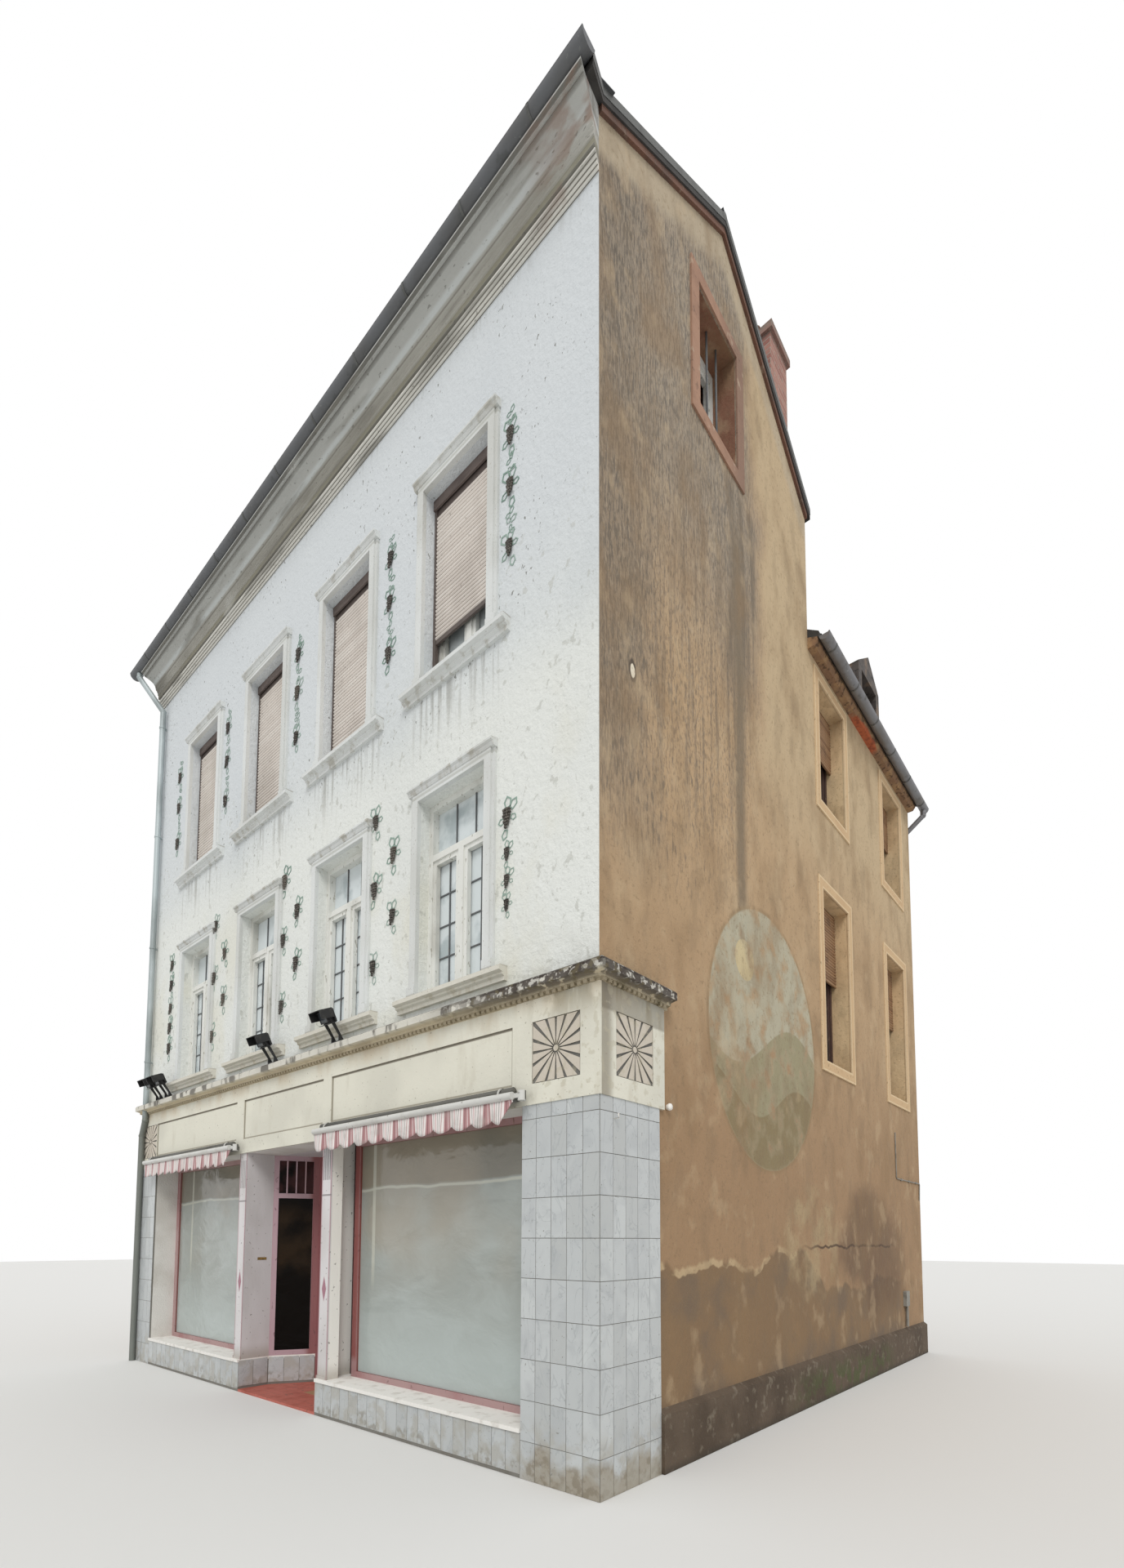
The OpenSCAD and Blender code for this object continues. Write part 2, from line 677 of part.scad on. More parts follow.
// A casement pair under a transom light, in an opening of width w and height h, standing on z = 0
module casements(w, h, light_h) {
    jamb = 55;
    sash = 42;
    sash_in = 14;
    sash_d = 46;
    mullion = 70;
    bar = 60;
    transom = h - light_h;
    half = (w / 2 - jamb - mullion / 2) / 2;
    leaf_top = transom - bar;
    difference() {
        block([-w / 2, 0, 0], [w / 2, casement_d, h]);
        for (side = [-1, 1]) translate([side * (half + mullion / 2), 0, 0])
            block([-half, -cut, jamb], [half, casement_d + cut, leaf_top]);
        block([-w / 2 + jamb, -cut, transom], [w / 2 - jamb, casement_d + cut, h - jamb]);
    }
    for (side = [-1, 1]) translate([side * (half + mullion / 2), 0, 0]) difference() {
        block([-half, sash_in, jamb], [half, sash_in + sash_d, leaf_top]);
        block([sash - half, -cut, jamb + sash], [half - sash, casement_d + cut, leaf_top - sash]);
    }
}
// The front windows stand behind the roller shutters on the second floor
module front_windows() {
    color("white") from_front() front_openings()
        translate([0, reveal + $behind, 0]) casements(win_w, $h, front_light_h);
}
// Glass behind the casements of an opening
module pane(w, h) {
    rebate = 10;
    glass_t = 6;
    block([-w / 2 + rebate, casement_d, rebate], [w / 2 - rebate, casement_d + glass_t, h - rebate]);
}
module window_glass() {
    color("lightblue") from_front() {
        front_openings() translate([0, reveal + $behind, 0]) pane(win_w, $h);
        wing_openings() translate([0, wing_reveal, 0]) pane(wing_win_w, $h);
        rear_openings() translate([0, reveal, 0]) pane(wing_win_w, $h);
        court_openings() translate([0, reveal, 0]) pane(wing_win_w, $h);
    }
}
module roller_shutters() {
    guide = 34;
    guide_d = 40;
    curtain = [12, 26];
    foot_bar = [8, 30];
    foot_h = 40;
    foot_gap = 4;
    half = win_w / 2;
    color("rosybrown") from_front() for (i = [0 : win_n - 1])
        translate([corner_x - win_first - i * win_step, reveal, second_sill_z]) {
            foot = i == 0 ? shutter_gap : foot_gap;
            for (side = [-1, 1]) translate([side * (half - guide / 2), 0, 0])
                block([-guide / 2, 0, foot_gap], [guide / 2, guide_d, second_win_h]);
            block([guide - half, curtain[0], foot], [half - guide, curtain[1], second_win_h]);
            block([guide - half, foot_bar[0], foot], [half - guide, foot_bar[1], foot + foot_h]);
        }
}

// Windows of the wing and of the hidden court sides
// Flat stone band of the given width and thickness round an opening
module band_round(w, h, band, thick) {
    difference() {
        block([-w / 2 - band, -thick, -band], [w / 2 + band, 0, h + band]);
        translate([0, -thick, 0]) hole(w, h);
    }
}
module wing_surrounds() {
    color("antiquewhite") from_front() wing_openings() band_round(wing_win_w, $h, wing_band, 16);
}
module rear_windows() {
    color("saddlebrown") from_front() {
        wing_openings() translate([0, wing_reveal, 0]) casements(wing_win_w, $h, rear_light_h);
        rear_openings() translate([0, reveal, 0]) casements(wing_win_w, $h, rear_light_h);
        court_openings() translate([0, reveal, 0]) casements(wing_win_w, $h, rear_light_h);
    }
}
module wing_shutters() {
    drop = 0.45;
    curtain = [wing_reveal - 58, wing_reveal - 40];
    color("peru") from_front() wing_openings()
        block([-wing_win_w / 2, curtain[0], (1 - drop) * $h], [wing_win_w / 2, curtain[1], $h]);
}
module attic_surround() {
    color("indianred") from_front() attic_opening() band_round(attic_win_w, attic_win_h, 140, 20);
}
module attic_window() {
    attic_reveal = 260;
    color("white") from_front() attic_opening() translate([0, attic_reveal, 0])
        casements(attic_win_w, attic_win_h, attic_light_h);
}

// Shop front
panel_margin = 170;
module fascia_panel(x0, x1) {
    sunk = 14;
    block([x0, -cut - facing_t, shop_head_z + panel_margin],
        [x1, sunk - facing_t, fascia_top_z - panel_margin]);
}
// Sixteen broad petals of a sunburst that fill a square of half-width r, with narrow rays between them
module rosette(r) {
    petals = 16;
    // Corners of one petal in shares of r: its stem near the middle and its broad end past the square
    stem = 0.14;
    neck = [0.3, 0.04];
    reach = 1.5;
    ray = 0.08;
    end = reach * tan(180 / petals) - ray;
    intersection() {
        square(2 * r, center = true);
        for (i = [0 : petals - 1]) rotate((i + 0.5) * 360 / petals)
            polygon([[stem, 0], [neck.x, -neck.y], [reach, -end], [reach, end], [neck.x, neck.y]] * r);
    }
    circle(0.1 * r);
}
rosette_r = 240;
rosette_z = shop_head_z + fascia_h / 2 - 8;
rosette_sunk = 14;
block_step = 12;
module fascia_rosettes() {
    face = facing_t + block_step;
    translate([-front_w / 2 + left_pier_w / 2, -facing_t, rosette_z]) children();
    translate([corner_x - pier_w / 2 - 20, -face, rosette_z]) children();
    translate([corner_x + face, pier_w / 2 + 30, rosette_z]) rotate([0, 0, 90]) children();
}
module fascia() {
    left = -front_w / 2;
    block_l = corner_x - pier_w - 60;
    block_b = pier_w + 60;
    face = facing_t + block_step;
    rooted = 2;
    color("beige") from_front() {
        difference() {
            union() {
                block([left, -facing_t, shop_head_z], [block_l + cut, 0, fascia_top_z]);
                upright(shop_head_z, fascia_top_z) polygon([[block_l, 0], [block_l, -face],
                    [corner_x + face, -face], [corner_x + face, block_b], [corner_x, block_b],
                    [corner_x, 0]]);
            }
            fascia_panel(left + left_pier_w - 25, left_window_r - 90);
            fascia_panel(entrance_l - 80, entrance_r + 10);
            fascia_panel(right_window_l - 10, block_l - 55);
            fascia_rosettes() block([-rosette_r, -cut, -rosette_r], [rosette_r, rosette_sunk, rosette_r]);
        }
        fascia_rosettes() translate([0, rosette_sunk + rooted, 0]) rotate([90, 0, 0])
            linear_extrude(rosette_sunk - 3 + rooted) rosette(rosette_r - 6);
    }
}
// Profile of the shop cornice as (projection, height above the fascia): fillets, dentil bed and drip
module shop_cornice_profile() {
    bed_p = shop_cornice_p / 2;
    drip_z = 0.44 * shop_cornice_h;
    bevel = 20;
    polygon([[0, 0], [30, 0], [30, 22], [bed_p, 30], [bed_p, 50], [shop_cornice_p - 14, drip_z],
        [shop_cornice_p, drip_z], [shop_cornice_p, shop_cornice_h - bevel],
        [shop_cornice_p - bevel, shop_cornice_h], [0, shop_cornice_h]]);
}
shop_cornice_return = 110;
// The downpipe passes through the cornice near its left end
module shop_cornice() {
    past_end = 75;
    reach = shop_cornice_p + cut;
    top = fascia_top_z + shop_cornice_h + cut;
    color("darkkhaki") from_front() {
        difference() {
            intersection() {
                translate([0, 0, fascia_top_z]) along_x(-front_w / 2 - past_end, corner_x + reach)
                    mirror([1, 0]) shop_cornice_profile();
                front_of_mitre(reach, fascia_top_z, top);
            }
            translate([pipe_x, -pipe_r - pipe_gap, fascia_top_z - cut])
                cylinder(r = pipe_r + socket_t, h = shop_cornice_h + 2 * cut);
        }
        intersection() {
            translate([corner_x, 0, fascia_top_z]) along_y(-reach, pier_w + shop_cornice_return)
                shop_cornice_profile();
            side_of_mitre(reach, fascia_top_z, top);
        }
    }
}
module pier_tiles() {
    color("lightgray") from_front() upright(0, shop_head_z) {
        polygon([[corner_x - pier_w, 0], [corner_x - pier_w, -facing_t], [corner_x + facing_t, -facing_t],
            [corner_x + facing_t, pier_w], [corner_x, pier_w], [corner_x, 0]]);
        translate([-front_w / 2, -facing_t]) square([left_pier_w, facing_t]);
    }
}
module side_plinth() {
    color("gray") from_front() along_y(pier_w, total_d) translate([corner_x, 0])
        polygon([[0, 0], [plinth_p, 0], [plinth_p, plinth_h - 40], [0, plinth_h]]);
}
// Both flanks of the entrance: the left one is drawn from its post's inner face, the right one is mirrored
module both_flanks() {
    for (side = [0, 1]) translate([entrance_x, 0, 0]) mirror([side, 0, 0])
        translate([-entrance_w / 2, 0, 0]) children();
}
// Plan of the splayed flank between shares a and b of its length, and from in to out behind its face
module flank_plan(a, b, in, out) {
    run = recess_d - shop_back;
    polygon([[a * splay - in, shop_back + a * run], [b * splay - in, shop_back + b * run],
        [b * splay - out, shop_back + b * run], [a * splay - out, shop_back + a * run]]);
}
module stall_risers() {
    over = 15;
    color("gainsboro") from_front() {
        for (span = [[left_window_l, entrance_l], [entrance_r, right_window_r]]) {
            block([span[0], -facing_t, 0], [span[1], shop_back, riser_h]);
            block([span[0], -over - facing_t, riser_h], [span[1], shop_back, sill_z]);
        }
        both_flanks() upright(0, sill_z) flank_plan(0, 1, 0, frame_w);
    }
}
module shop_posts() {
    base_h = 30;
    base_p = 8;
    depth = 130;
    flutes = 5;
    flute_r = 9;
    flute_h = 330;
    flute_top = 90;
    color("white") from_front() both_flanks() {
        difference() {
            block([-post_w, 0, sill_z], [0, depth, shop_head_z]);
            for (i = [1 : flutes]) translate([-post_w * i / (flutes + 1), 0,
                shop_head_z - flute_h - flute_top])
                cylinder(r = flute_r, h = flute_h);
        }
        block([-post_w - base_p, -base_p, sill_z], [base_p, 0, sill_z + base_h]);
        block([-frame_w, depth, sill_z], [0, shop_back, shop_head_z]);
    }
}
shop_stile = 1.4 * frame_w;
module shop_windows() {
    for (span = [[left_window_l, left_window_r], [right_window_l, right_window_r]])
        translate([span[0], shop_reveal, sill_z]) {
            $w = span[1] - span[0];
            $h = shop_head_z - sill_z;
            children();
        }
}
module shop_frames() {
    color("rosybrown") from_front() shop_windows() difference() {
        block([0, 0, 0], [$w, frame_w, $h]);
        block([shop_stile, -cut, frame_w], [$w - shop_stile, frame_w + cut, $h - frame_w]);
    }
}
glass_back = 0.45;
glass_front = 0.6;
top_light_z = transom_z + frame_w;
splay_share = frame_w / norm([splay, recess_d - shop_back]);
door_leaf_z = ground_floor_t + 4;
door_gap = 3;
door_h = transom_z - door_leaf_z;
module flank_lights(in, out) {
    for (z = [[sill_z + frame_w, transom_z], [top_light_z, shop_head_z - frame_w]])
        upright(z[0], z[1]) flank_plan(splay_share, 1 - splay_share, in, out);
}
module shop_glass() {
    back = glass_back * frame_w;
    front = glass_front * frame_w;
    glass_t = 8;
    color("lightblue") from_front() {
        shop_windows() block([shop_stile, back, frame_w], [$w - shop_stile, front, $h - frame_w]);
        both_flanks() flank_lights(back, front);
        translate([entrance_x, recess_d + back, 0])
            block([-door_w / 2, 0, top_light_z], [door_w / 2, glass_t, shop_head_z - frame_w]);
        translate([entrance_x, recess_d + door_frame_d / 2, door_leaf_z])
            block([door_stile - door_w / 2, 0, door_rail],
                [door_w / 2 - door_stile, glass_t, door_h - door_stile]);
    }
}

// Entrance recess
// Plan of the entrance recess between its posts, from depth y0 back to its frame
module recess_plan(y0, side, back) {
    polygon([[entrance_l - side, y0], [entrance_r + side, y0], [entrance_r + side, shop_back],
        [entrance_r - splay + side, back], [entrance_l + splay - side, back],
        [entrance_l - side, shop_back]]);
}
module recess_floor() {
    floor_t = 25;
    color("indianred") from_front() upright(0, floor_t) recess_plan(-facing_t, 0, recess_d);
}
module recess_soffit() {
    board_t = 60;
    color("white") from_front() upright(shop_head_z, shop_head_z + board_t) polygon([
        [entrance_l - frame_w, wall_t], [entrance_r + frame_w, wall_t],
        [entrance_r - splay + frame_w, recess_back], [entrance_l + splay - frame_w, recess_back]]);
}
module side_lights() {
    color("rosybrown") from_front() both_flanks() difference() {
        upright(sill_z, shop_head_z) flank_plan(0, 1, 0, frame_w);
        flank_lights(-cut, frame_w + cut);
    }
}
module entrance_frame() {
    back_w = entrance_w / 2 - splay + frame_w;
    door_half = door_w / 2 + door_gap;
    color("rosybrown") from_front() translate([entrance_x, recess_d, 0]) difference() {
        block([-back_w, 0, 0], [back_w, door_frame_d, shop_head_z]);
        block([-door_half, -cut, ground_floor_t], [door_half, door_frame_d + cut, transom_z]);
        block([-door_w / 2, -cut, top_light_z], [door_w / 2, door_frame_d + cut, shop_head_z - frame_w]);
    }
}
door_stile = 95;
door_rail = 420;
module entrance_door() {
    leaf_t = 44;
    panel_d = 12;
    knuckle_h = 100;
    knuckle_in = 6;
    half = door_w / 2;
    light = half - door_stile;
    color("rosybrown") from_front() translate([entrance_x, recess_d + 10, door_leaf_z]) {
        difference() {
            block([-half, 0, 0], [half, leaf_t, door_h - door_gap]);
            block([-light, -cut, door_rail], [light, leaf_t + cut, door_h - door_stile]);
            block([-light, -cut, 1.3 * door_stile], [light, panel_d, door_rail - door_stile]);
        }
        for (z = [130, (door_h - knuckle_h) / 2, door_h - 230])
            block([-half - door_gap, knuckle_in, z], [-half, leaf_t - knuckle_in, z + knuckle_h]);
    }
}

// Awnings and lights
awning_z = shop_head_z + 62;
module awning_spans() {
    for (span = [[left_window_l - 90, left_window_r + 40], [right_window_l - 100, right_window_r + 20]])
        translate([span[0], 0, awning_z]) { $w = span[1] - span[0]; children(); }
}
// Hook that curls up over the rolled cloth, as (depth, height) about the bar's axis
module awning_hook() {
    hook_r = 55;
    hook_t = 9;
    translate([hook_r, bar_r]) difference() {
        circle(hook_r);
        circle(hook_r - hook_t);
        translate([-hook_r, -2 * hook_r]) square(2 * hook_r);
        translate([hook_r / 2, -hook_r]) square(2 * hook_r);
    }
}
// Folded arm between the wall and the bar: an upper and a fore arm that meet at the elbow's drum
module awning_arm() {
    arm_l = 420;
    arm_h = 34;
    arm_d = 18;
    drum_r = 32;
    drum_h = 76;
    back_y = -facing_t - 2 * drum_r;
    translate([0, 0, -arm_h / 2]) {
        for (y = [back_y, arm_d / 2 - awning_p])
            block([-arm_l, y, 0], [0, y + arm_d, arm_h]);
        translate([0, (back_y + arm_d - awning_p) / 2, (arm_h - drum_h) / 2])
            cylinder(r = drum_r, h = drum_h);
    }
}
module awnings() {
    roller_r = 38;
    roller_in = 30;
    bracket = 12;
    bracket_h = 44;
    roller_y = -facing_t - roller_r - 8;
    hooks_in = 170;
    elbow_out = 60;
    color("white") from_front() awning_spans() {
        translate([0, -awning_p, 0]) rotate([0, 90, 0]) cylinder(r = bar_r, h = $w);
        translate([roller_in, roller_y, 5]) rotate([0, 90, 0])
            cylinder(r = roller_r, h = $w - 2 * roller_in);
        for (x = [roller_in, $w - roller_in - bracket])
            block([x, -awning_p, -bracket_h / 2], [x + bracket, -facing_t, bracket_h / 2]);
        for (x = [hooks_in, $w - hooks_in]) translate([x, -awning_p, 0])
            along_x(0, bracket) awning_hook();
        translate([$w + elbow_out, 0, 0]) awning_arm();
    }
}
module awning_valances() {
    cloth = 8;
    color("mistyrose") from_front() awning_spans() {
        n = round($w / scallop_w);
        step = $w / n;
        fall = valance_h - step / 4;
        translate([0, cloth / 2 - awning_p, -bar_r - seat]) rotate([90, 0, 0]) linear_extrude(cloth)
            union() {
                translate([0, -fall]) square([$w, fall]);
                for (i = [0 : n - 1]) translate([(i + 0.5) * step, -fall])
                    scale([1, 0.5]) circle(step / 2 - 2);
            }
    }
}
// Distances of the floodlights from the street corner
floodlight_s = [3300, 4630, 7640, 7960];
module floodlights() {
    head = [66, 40, 60];
    rim = 10;
    leg_t = 10;
    foot_half = 25;
    foot_t = 5;
    foot_y = -shop_cornice_p / 2 - 20;
    head_y = -shop_cornice_p - facing_t - 70;
    head_z = 230;
    color("black") from_front() for (s = floodlight_s)
        translate([corner_x - s, 0, fascia_top_z + shop_cornice_h]) {
            block([-head.x - leg_t / 2, foot_y - foot_half, 0],
                [head.x + leg_t / 2, foot_y + foot_half, foot_t]);
            for (x = [-head.x - leg_t / 2, head.x - leg_t / 2]) along_x(x, x + leg_t)
                polygon([[foot_y - foot_half, 0], [foot_y + foot_half, 0], [foot_y + foot_half, 30],
                    [head_y + 15, head_z + 15], [head_y - 15, head_z - 15], [foot_y - foot_half, 60]]);
            translate([0, head_y, head_z]) rotate([25, 0, 0]) difference() {
                block(-head, head);
                block([rim - head.x, -cut - head.y, rim - head.z],
                    [head.x - rim, rim - head.y, head.z - rim]);
            }
        }
}

ground_floor();
upper_floors();
front_piers();
shop_lintel();
front_wall();
gable_wall();
party_wall();
rear_wall();
wing_side_wall();
wing_court_wall();
wing_end_wall();
roof_front();
roof_rear();
wing_roof_street();
wing_roof_court();
chimney();
dormer();
main_cornice();
front_gutter();
front_downpipe();
verge_boards();
wing_eave();
wing_gutters();
window_surrounds();
front_windows();
roller_shutters();
window_glass();
wing_surrounds();
rear_windows();
wing_shutters();
attic_surround();
attic_window();
fascia();
shop_cornice();
pier_tiles();
side_plinth();
stall_risers();
shop_posts();
shop_frames();
shop_glass();
recess_floor();
recess_soffit();
side_lights();
entrance_frame();
entrance_door();
awnings();
awning_valances();
floodlights();
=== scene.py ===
"""A corner shop with dwelling above, dressed in its weathered finishes. Metres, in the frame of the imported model:
the street front looks along -Y at y = -2.05, the street corner stands at x = 4.35 and the alley side looks along +X."""
import math

import bmesh
import bpy
from mathutils import Matrix, Vector


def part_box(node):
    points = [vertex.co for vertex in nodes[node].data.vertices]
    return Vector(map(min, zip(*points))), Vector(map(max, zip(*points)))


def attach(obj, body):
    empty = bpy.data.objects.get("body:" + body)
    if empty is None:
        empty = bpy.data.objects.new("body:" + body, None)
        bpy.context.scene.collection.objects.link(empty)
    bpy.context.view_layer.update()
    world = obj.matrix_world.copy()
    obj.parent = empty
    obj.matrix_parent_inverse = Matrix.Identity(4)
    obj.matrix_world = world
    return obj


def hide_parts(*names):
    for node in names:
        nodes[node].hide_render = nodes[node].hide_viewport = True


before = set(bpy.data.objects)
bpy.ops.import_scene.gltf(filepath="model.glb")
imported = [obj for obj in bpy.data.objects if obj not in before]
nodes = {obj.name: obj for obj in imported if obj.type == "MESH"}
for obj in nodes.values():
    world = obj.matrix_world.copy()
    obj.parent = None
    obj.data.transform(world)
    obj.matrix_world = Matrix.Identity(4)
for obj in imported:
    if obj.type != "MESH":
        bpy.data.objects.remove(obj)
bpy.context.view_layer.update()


# The outer walls: thick masonry of rubble and brick. The street front has a white rough-cast coat with a hard
# grain, dusted grey and splashed above the shop cornice.
FRONT_Y = -2.05
CORNER_X = 4.35
FIRST_SILL = 3.98
SECOND_SILL = 6.97


def tone(code):
    """The linear colour that a shader takes, from an sRGB code."""
    parts = [int(code[i:i + 2], 16) / 255 for i in (1, 3, 5)]
    return tuple(c / 12.92 if c <= 0.04045 else ((c + 0.055) / 1.055) ** 2.4 for c in parts) + (1.0,)


def put(tree, socket, value):
    """Links or sets one socket."""
    if isinstance(value, bpy.types.NodeSocket):
        tree.links.new(value, socket)
    elif value is not None:
        socket.default_value = value


def add(tree, kind, *values, **settings):
    """A node with its first sockets filled in order. Settings are its own options."""
    node = tree.nodes.new(kind)
    for name, value in settings.items():
        setattr(node, name, value)
    for socket, value in zip(node.inputs, values):
        put(tree, socket, value)
    return node


class Coat:
    """A finish: a base colour, layers laid over it through masks, and a relief, in metres on the object."""

    def __init__(self, name, colour, rough=0.85, metal=0.0):
        self.mat = bpy.data.materials.new(name)
        self.mat.use_nodes = True
        self.tree = self.mat.node_tree
        self.tree.nodes.clear()
        out = add(self.tree, "ShaderNodeOutputMaterial")
        self.shader = add(self.tree, "ShaderNodeBsdfPrincipled")
        self.tree.links.new(self.shader.outputs[0], out.inputs[0])
        self.set("Roughness", rough)
        self.set("Metallic", metal)
        self.set("Base Color", tone(colour))
        self.colour = tone(colour)
        self.normal = None
        self.place = add(self.tree, "ShaderNodeTexCoord").outputs["Object"]
        axes = add(self.tree, "ShaderNodeSeparateXYZ", self.place)
        self.x, self.y, self.z = axes.outputs

    def set(self, name, value):
        put(self.tree, self.shader.inputs[name], value)

    def sum(self, operation, *values):
        return add(self.tree, "ShaderNodeMath", *values, operation=operation).outputs[0]

    def plus(self, a, b):
        return self.sum("ADD", a, b)

    def minus(self, a, b):
        return self.sum("SUBTRACT", a, b)

    def times(self, a, b):
        return self.sum("MULTIPLY", a, b)

    def noise(self, scale, detail=3.0, stretch=(1, 1, 1), shift=(0, 0, 0), bend=0.0):
        mapping = add(self.tree, "ShaderNodeMapping", self.place, shift, None, stretch)
        texture = add(self.tree, "ShaderNodeTexNoise")
        put(self.tree, texture.inputs["Vector"], mapping.outputs[0])
        put(self.tree, texture.inputs["Scale"], scale)
        put(self.tree, texture.inputs["Detail"], detail)
        put(self.tree, texture.inputs["Distortion"], bend)
        return texture.outputs["Fac"]

    def over(self, value, low, high):
        """0 below low and 1 above high, or the other way round where low is above high."""
        if low > high:
            return self.minus(1.0, self.over(value, high, low))
        return add(self.tree, "ShaderNodeMapRange", value, low, high, 0.0, 1.0,
                   interpolation_type="SMOOTHSTEP").outputs[0]

    def patch(self, low, high, *grain, **more):
        """A mask of irregular patches: where a noise of this grain passes from low to high."""
        return self.over(self.noise(*grain, **more), low, high)

    def band(self, value, a, b, c, d):
        return self.times(self.over(value, a, b), self.over(value, d, c))

    def both(self, *masks):
        total = masks[0]
        for mask in masks[1:]:
            total = self.times(total, mask)
        return total

    def either(self, *masks):
        total = masks[0]
        for mask in masks[1:]:
            total = self.sum("MAXIMUM", total, mask)
        return total

    def disc(self, a, b, centre, radii, wobble=None, soft=0.2):
        """1 inside an ellipse in the plane of a and b."""
        da = self.sum("DIVIDE", self.minus(a, centre[0]), radii[0])
        db = self.sum("DIVIDE", self.minus(b, centre[1]), radii[1])
        r = self.plus(self.times(da, da), self.times(db, db))
        if wobble is not None:
            r = self.plus(r, self.minus(wobble, 0.5))
        return self.over(r, 1.0 + soft, 1.0 - soft)

    def away(self, a, b, areas):
        """How far a point lies outside the nearest of several rectangles, below 0 inside one."""
        least = None
        for a0, a1, b0, b1 in areas:
            off_a = self.minus(self.sum("ABSOLUTE", self.minus(a, (a0 + a1) / 2)), (a1 - a0) / 2)
            off_b = self.minus(self.sum("ABSOLUTE", self.minus(b, (b0 + b1) / 2)), (b1 - b0) / 2)
            off = self.sum("MAXIMUM", off_a, off_b)
            least = off if least is None else self.sum("MINIMUM", least, off)
        return least

    def layer(self, colour, strength, *masks):
        """Lays a colour over the coat where all the masks meet."""
        mask = self.both(*masks)
        if strength < 1.0:
            mask = self.times(mask, strength)
        mix = add(self.tree, "ShaderNodeMix", data_type="RGBA")
        put(self.tree, mix.inputs[0], mask)
        put(self.tree, mix.inputs[6], self.colour)
        put(self.tree, mix.inputs[7], tone(colour) if isinstance(colour, str) else colour)
        self.colour = mix.outputs[2]
        return self

    def mottle(self, colour, strength, low, high, *grain, **more):
        return self.layer(colour, strength, self.patch(low, high, *grain, **more))

    def relief(self, height, depth):
        bump = add(self.tree, "ShaderNodeBump")
        put(self.tree, bump.inputs["Height"], height)
        put(self.tree, bump.inputs["Distance"], depth)
        put(self.tree, bump.inputs["Strength"], 1.0)
        put(self.tree, bump.inputs["Normal"], self.normal)
        self.normal = bump.outputs[0]
        return self

    def done(self, *names):
        """Finishes the coat and lays it on these CAD nodes."""
        put(self.tree, self.shader.inputs["Base Color"], self.colour)
        put(self.tree, self.shader.inputs["Normal"], self.normal)
        for name in names:
            for slot in nodes[name].material_slots:
                slot.material = self.mat
        return self.mat


roughcast = Coat("white_roughcast", "#dadedd", rough=0.92)
clouds = roughcast.patch(0.44, 0.72, 0.8, 4.0, (1, 1, 0.45))
grain = roughcast.noise(120.0, 2.0)
coarse = roughcast.noise(38.0, 3.0)
streaks = roughcast.patch(0.5, 0.68, 4.0, 5.0, (4.0, 4.0, 0.2))
roughcast.layer("#c3c9cb", 0.75, clouds)
roughcast.layer("#b9beba", 0.45, roughcast.over(coarse, 0.5, 0.75))
WINDOW_X = [CORNER_X - 1.65 - 1.79 * i for i in range(4)]
off_window = roughcast.away(roughcast.x, roughcast.z, [(x - 0.62, x + 0.62, 0, 12) for x in WINDOW_X])
under_window = roughcast.over(off_window, 0.08, -0.05)
for sill in (FIRST_SILL, SECOND_SILL):
    below = roughcast.band(roughcast.z, sill - 0.95, sill - 0.25, sill - 0.16, sill - 0.08)
    roughcast.layer("#88867c", 0.75, below, under_window, streaks)
roughcast.layer("#d2d7db", 0.8, roughcast.over(roughcast.z, 6.0, 8.0))
splash = roughcast.over(roughcast.z, 4.35, 3.72)
dirt = roughcast.patch(0.42, 0.66, 5.0, 5.0)
roughcast.layer("#9a988e", 0.6, splash, dirt)
corner_crust = roughcast.both(roughcast.over(roughcast.x, 1.6, 3.8), roughcast.over(roughcast.z, 3.98, 3.78))
speckle = roughcast.patch(0.44, 0.52, 21.0, 5.0, (1, 1, 0.7))
roughcast.layer("#57534b", 0.6, corner_crust, speckle)
patches = roughcast.patch(0.42, 0.58, 1.1, 2.0, shift=(3, 0, 1))
chips = roughcast.patch(0.66, 0.7, 30.0, 3.0, (1, 1, 0.7))
roughcast.layer("#6d6c65", 0.8, patches, chips)
warm = roughcast.both(roughcast.over(roughcast.z, 6.6, 5.4), roughcast.patch(0.45, 0.66, 1.4, 5.0, (1, 1, 0.6),
                                                                             (2, 4, 6)))
roughcast.layer("#e6e8e3", 0.7, roughcast.over(roughcast.z, 6.9, 6.1))
roughcast.layer("#dad8c8", 0.5, warm)
flakes_off = roughcast.patch(0.62, 0.68, 13.0, 5.0, (1, 1, 0.8), (8, 2, 5))
roughcast.layer("#b4b5ad", 0.5, flakes_off, roughcast.over(roughcast.z, 8.3, 6.9))
eave_shade = roughcast.both(roughcast.over(roughcast.z, 9.9, 10.15), streaks)
roughcast.layer("#a9aaa6", 0.4, eave_shade)
roughcast.relief(coarse, 0.006).relief(roughcast.noise(16.0, 5.0), 0.012).relief(grain, 0.003)
roughcast.done("front_wall")

masonry = Coat("plain_masonry", "#dcdad5", rough=0.9)
masonry.mottle("#c4c0b8", 0.7, 0.4, 0.7, 2.2, 4.0)
masonry.relief(masonry.noise(60.0, 3.0), 0.004)
masonry.done("front_piers", "shop_lintel")


# The alley side: an old lime render in tan and ochre. Rain has washed dark streaks down its street half, the
# rear half stays clean, and the foot is patched in cement and damp. A faded generic panel is painted on it.
RIDGE_T = 2.03
FRONT_TOP = 10.66
RIDGE_TOP = 12.05
REAR_SLOPE = 0.662
FRONT_SLOPE = 0.685


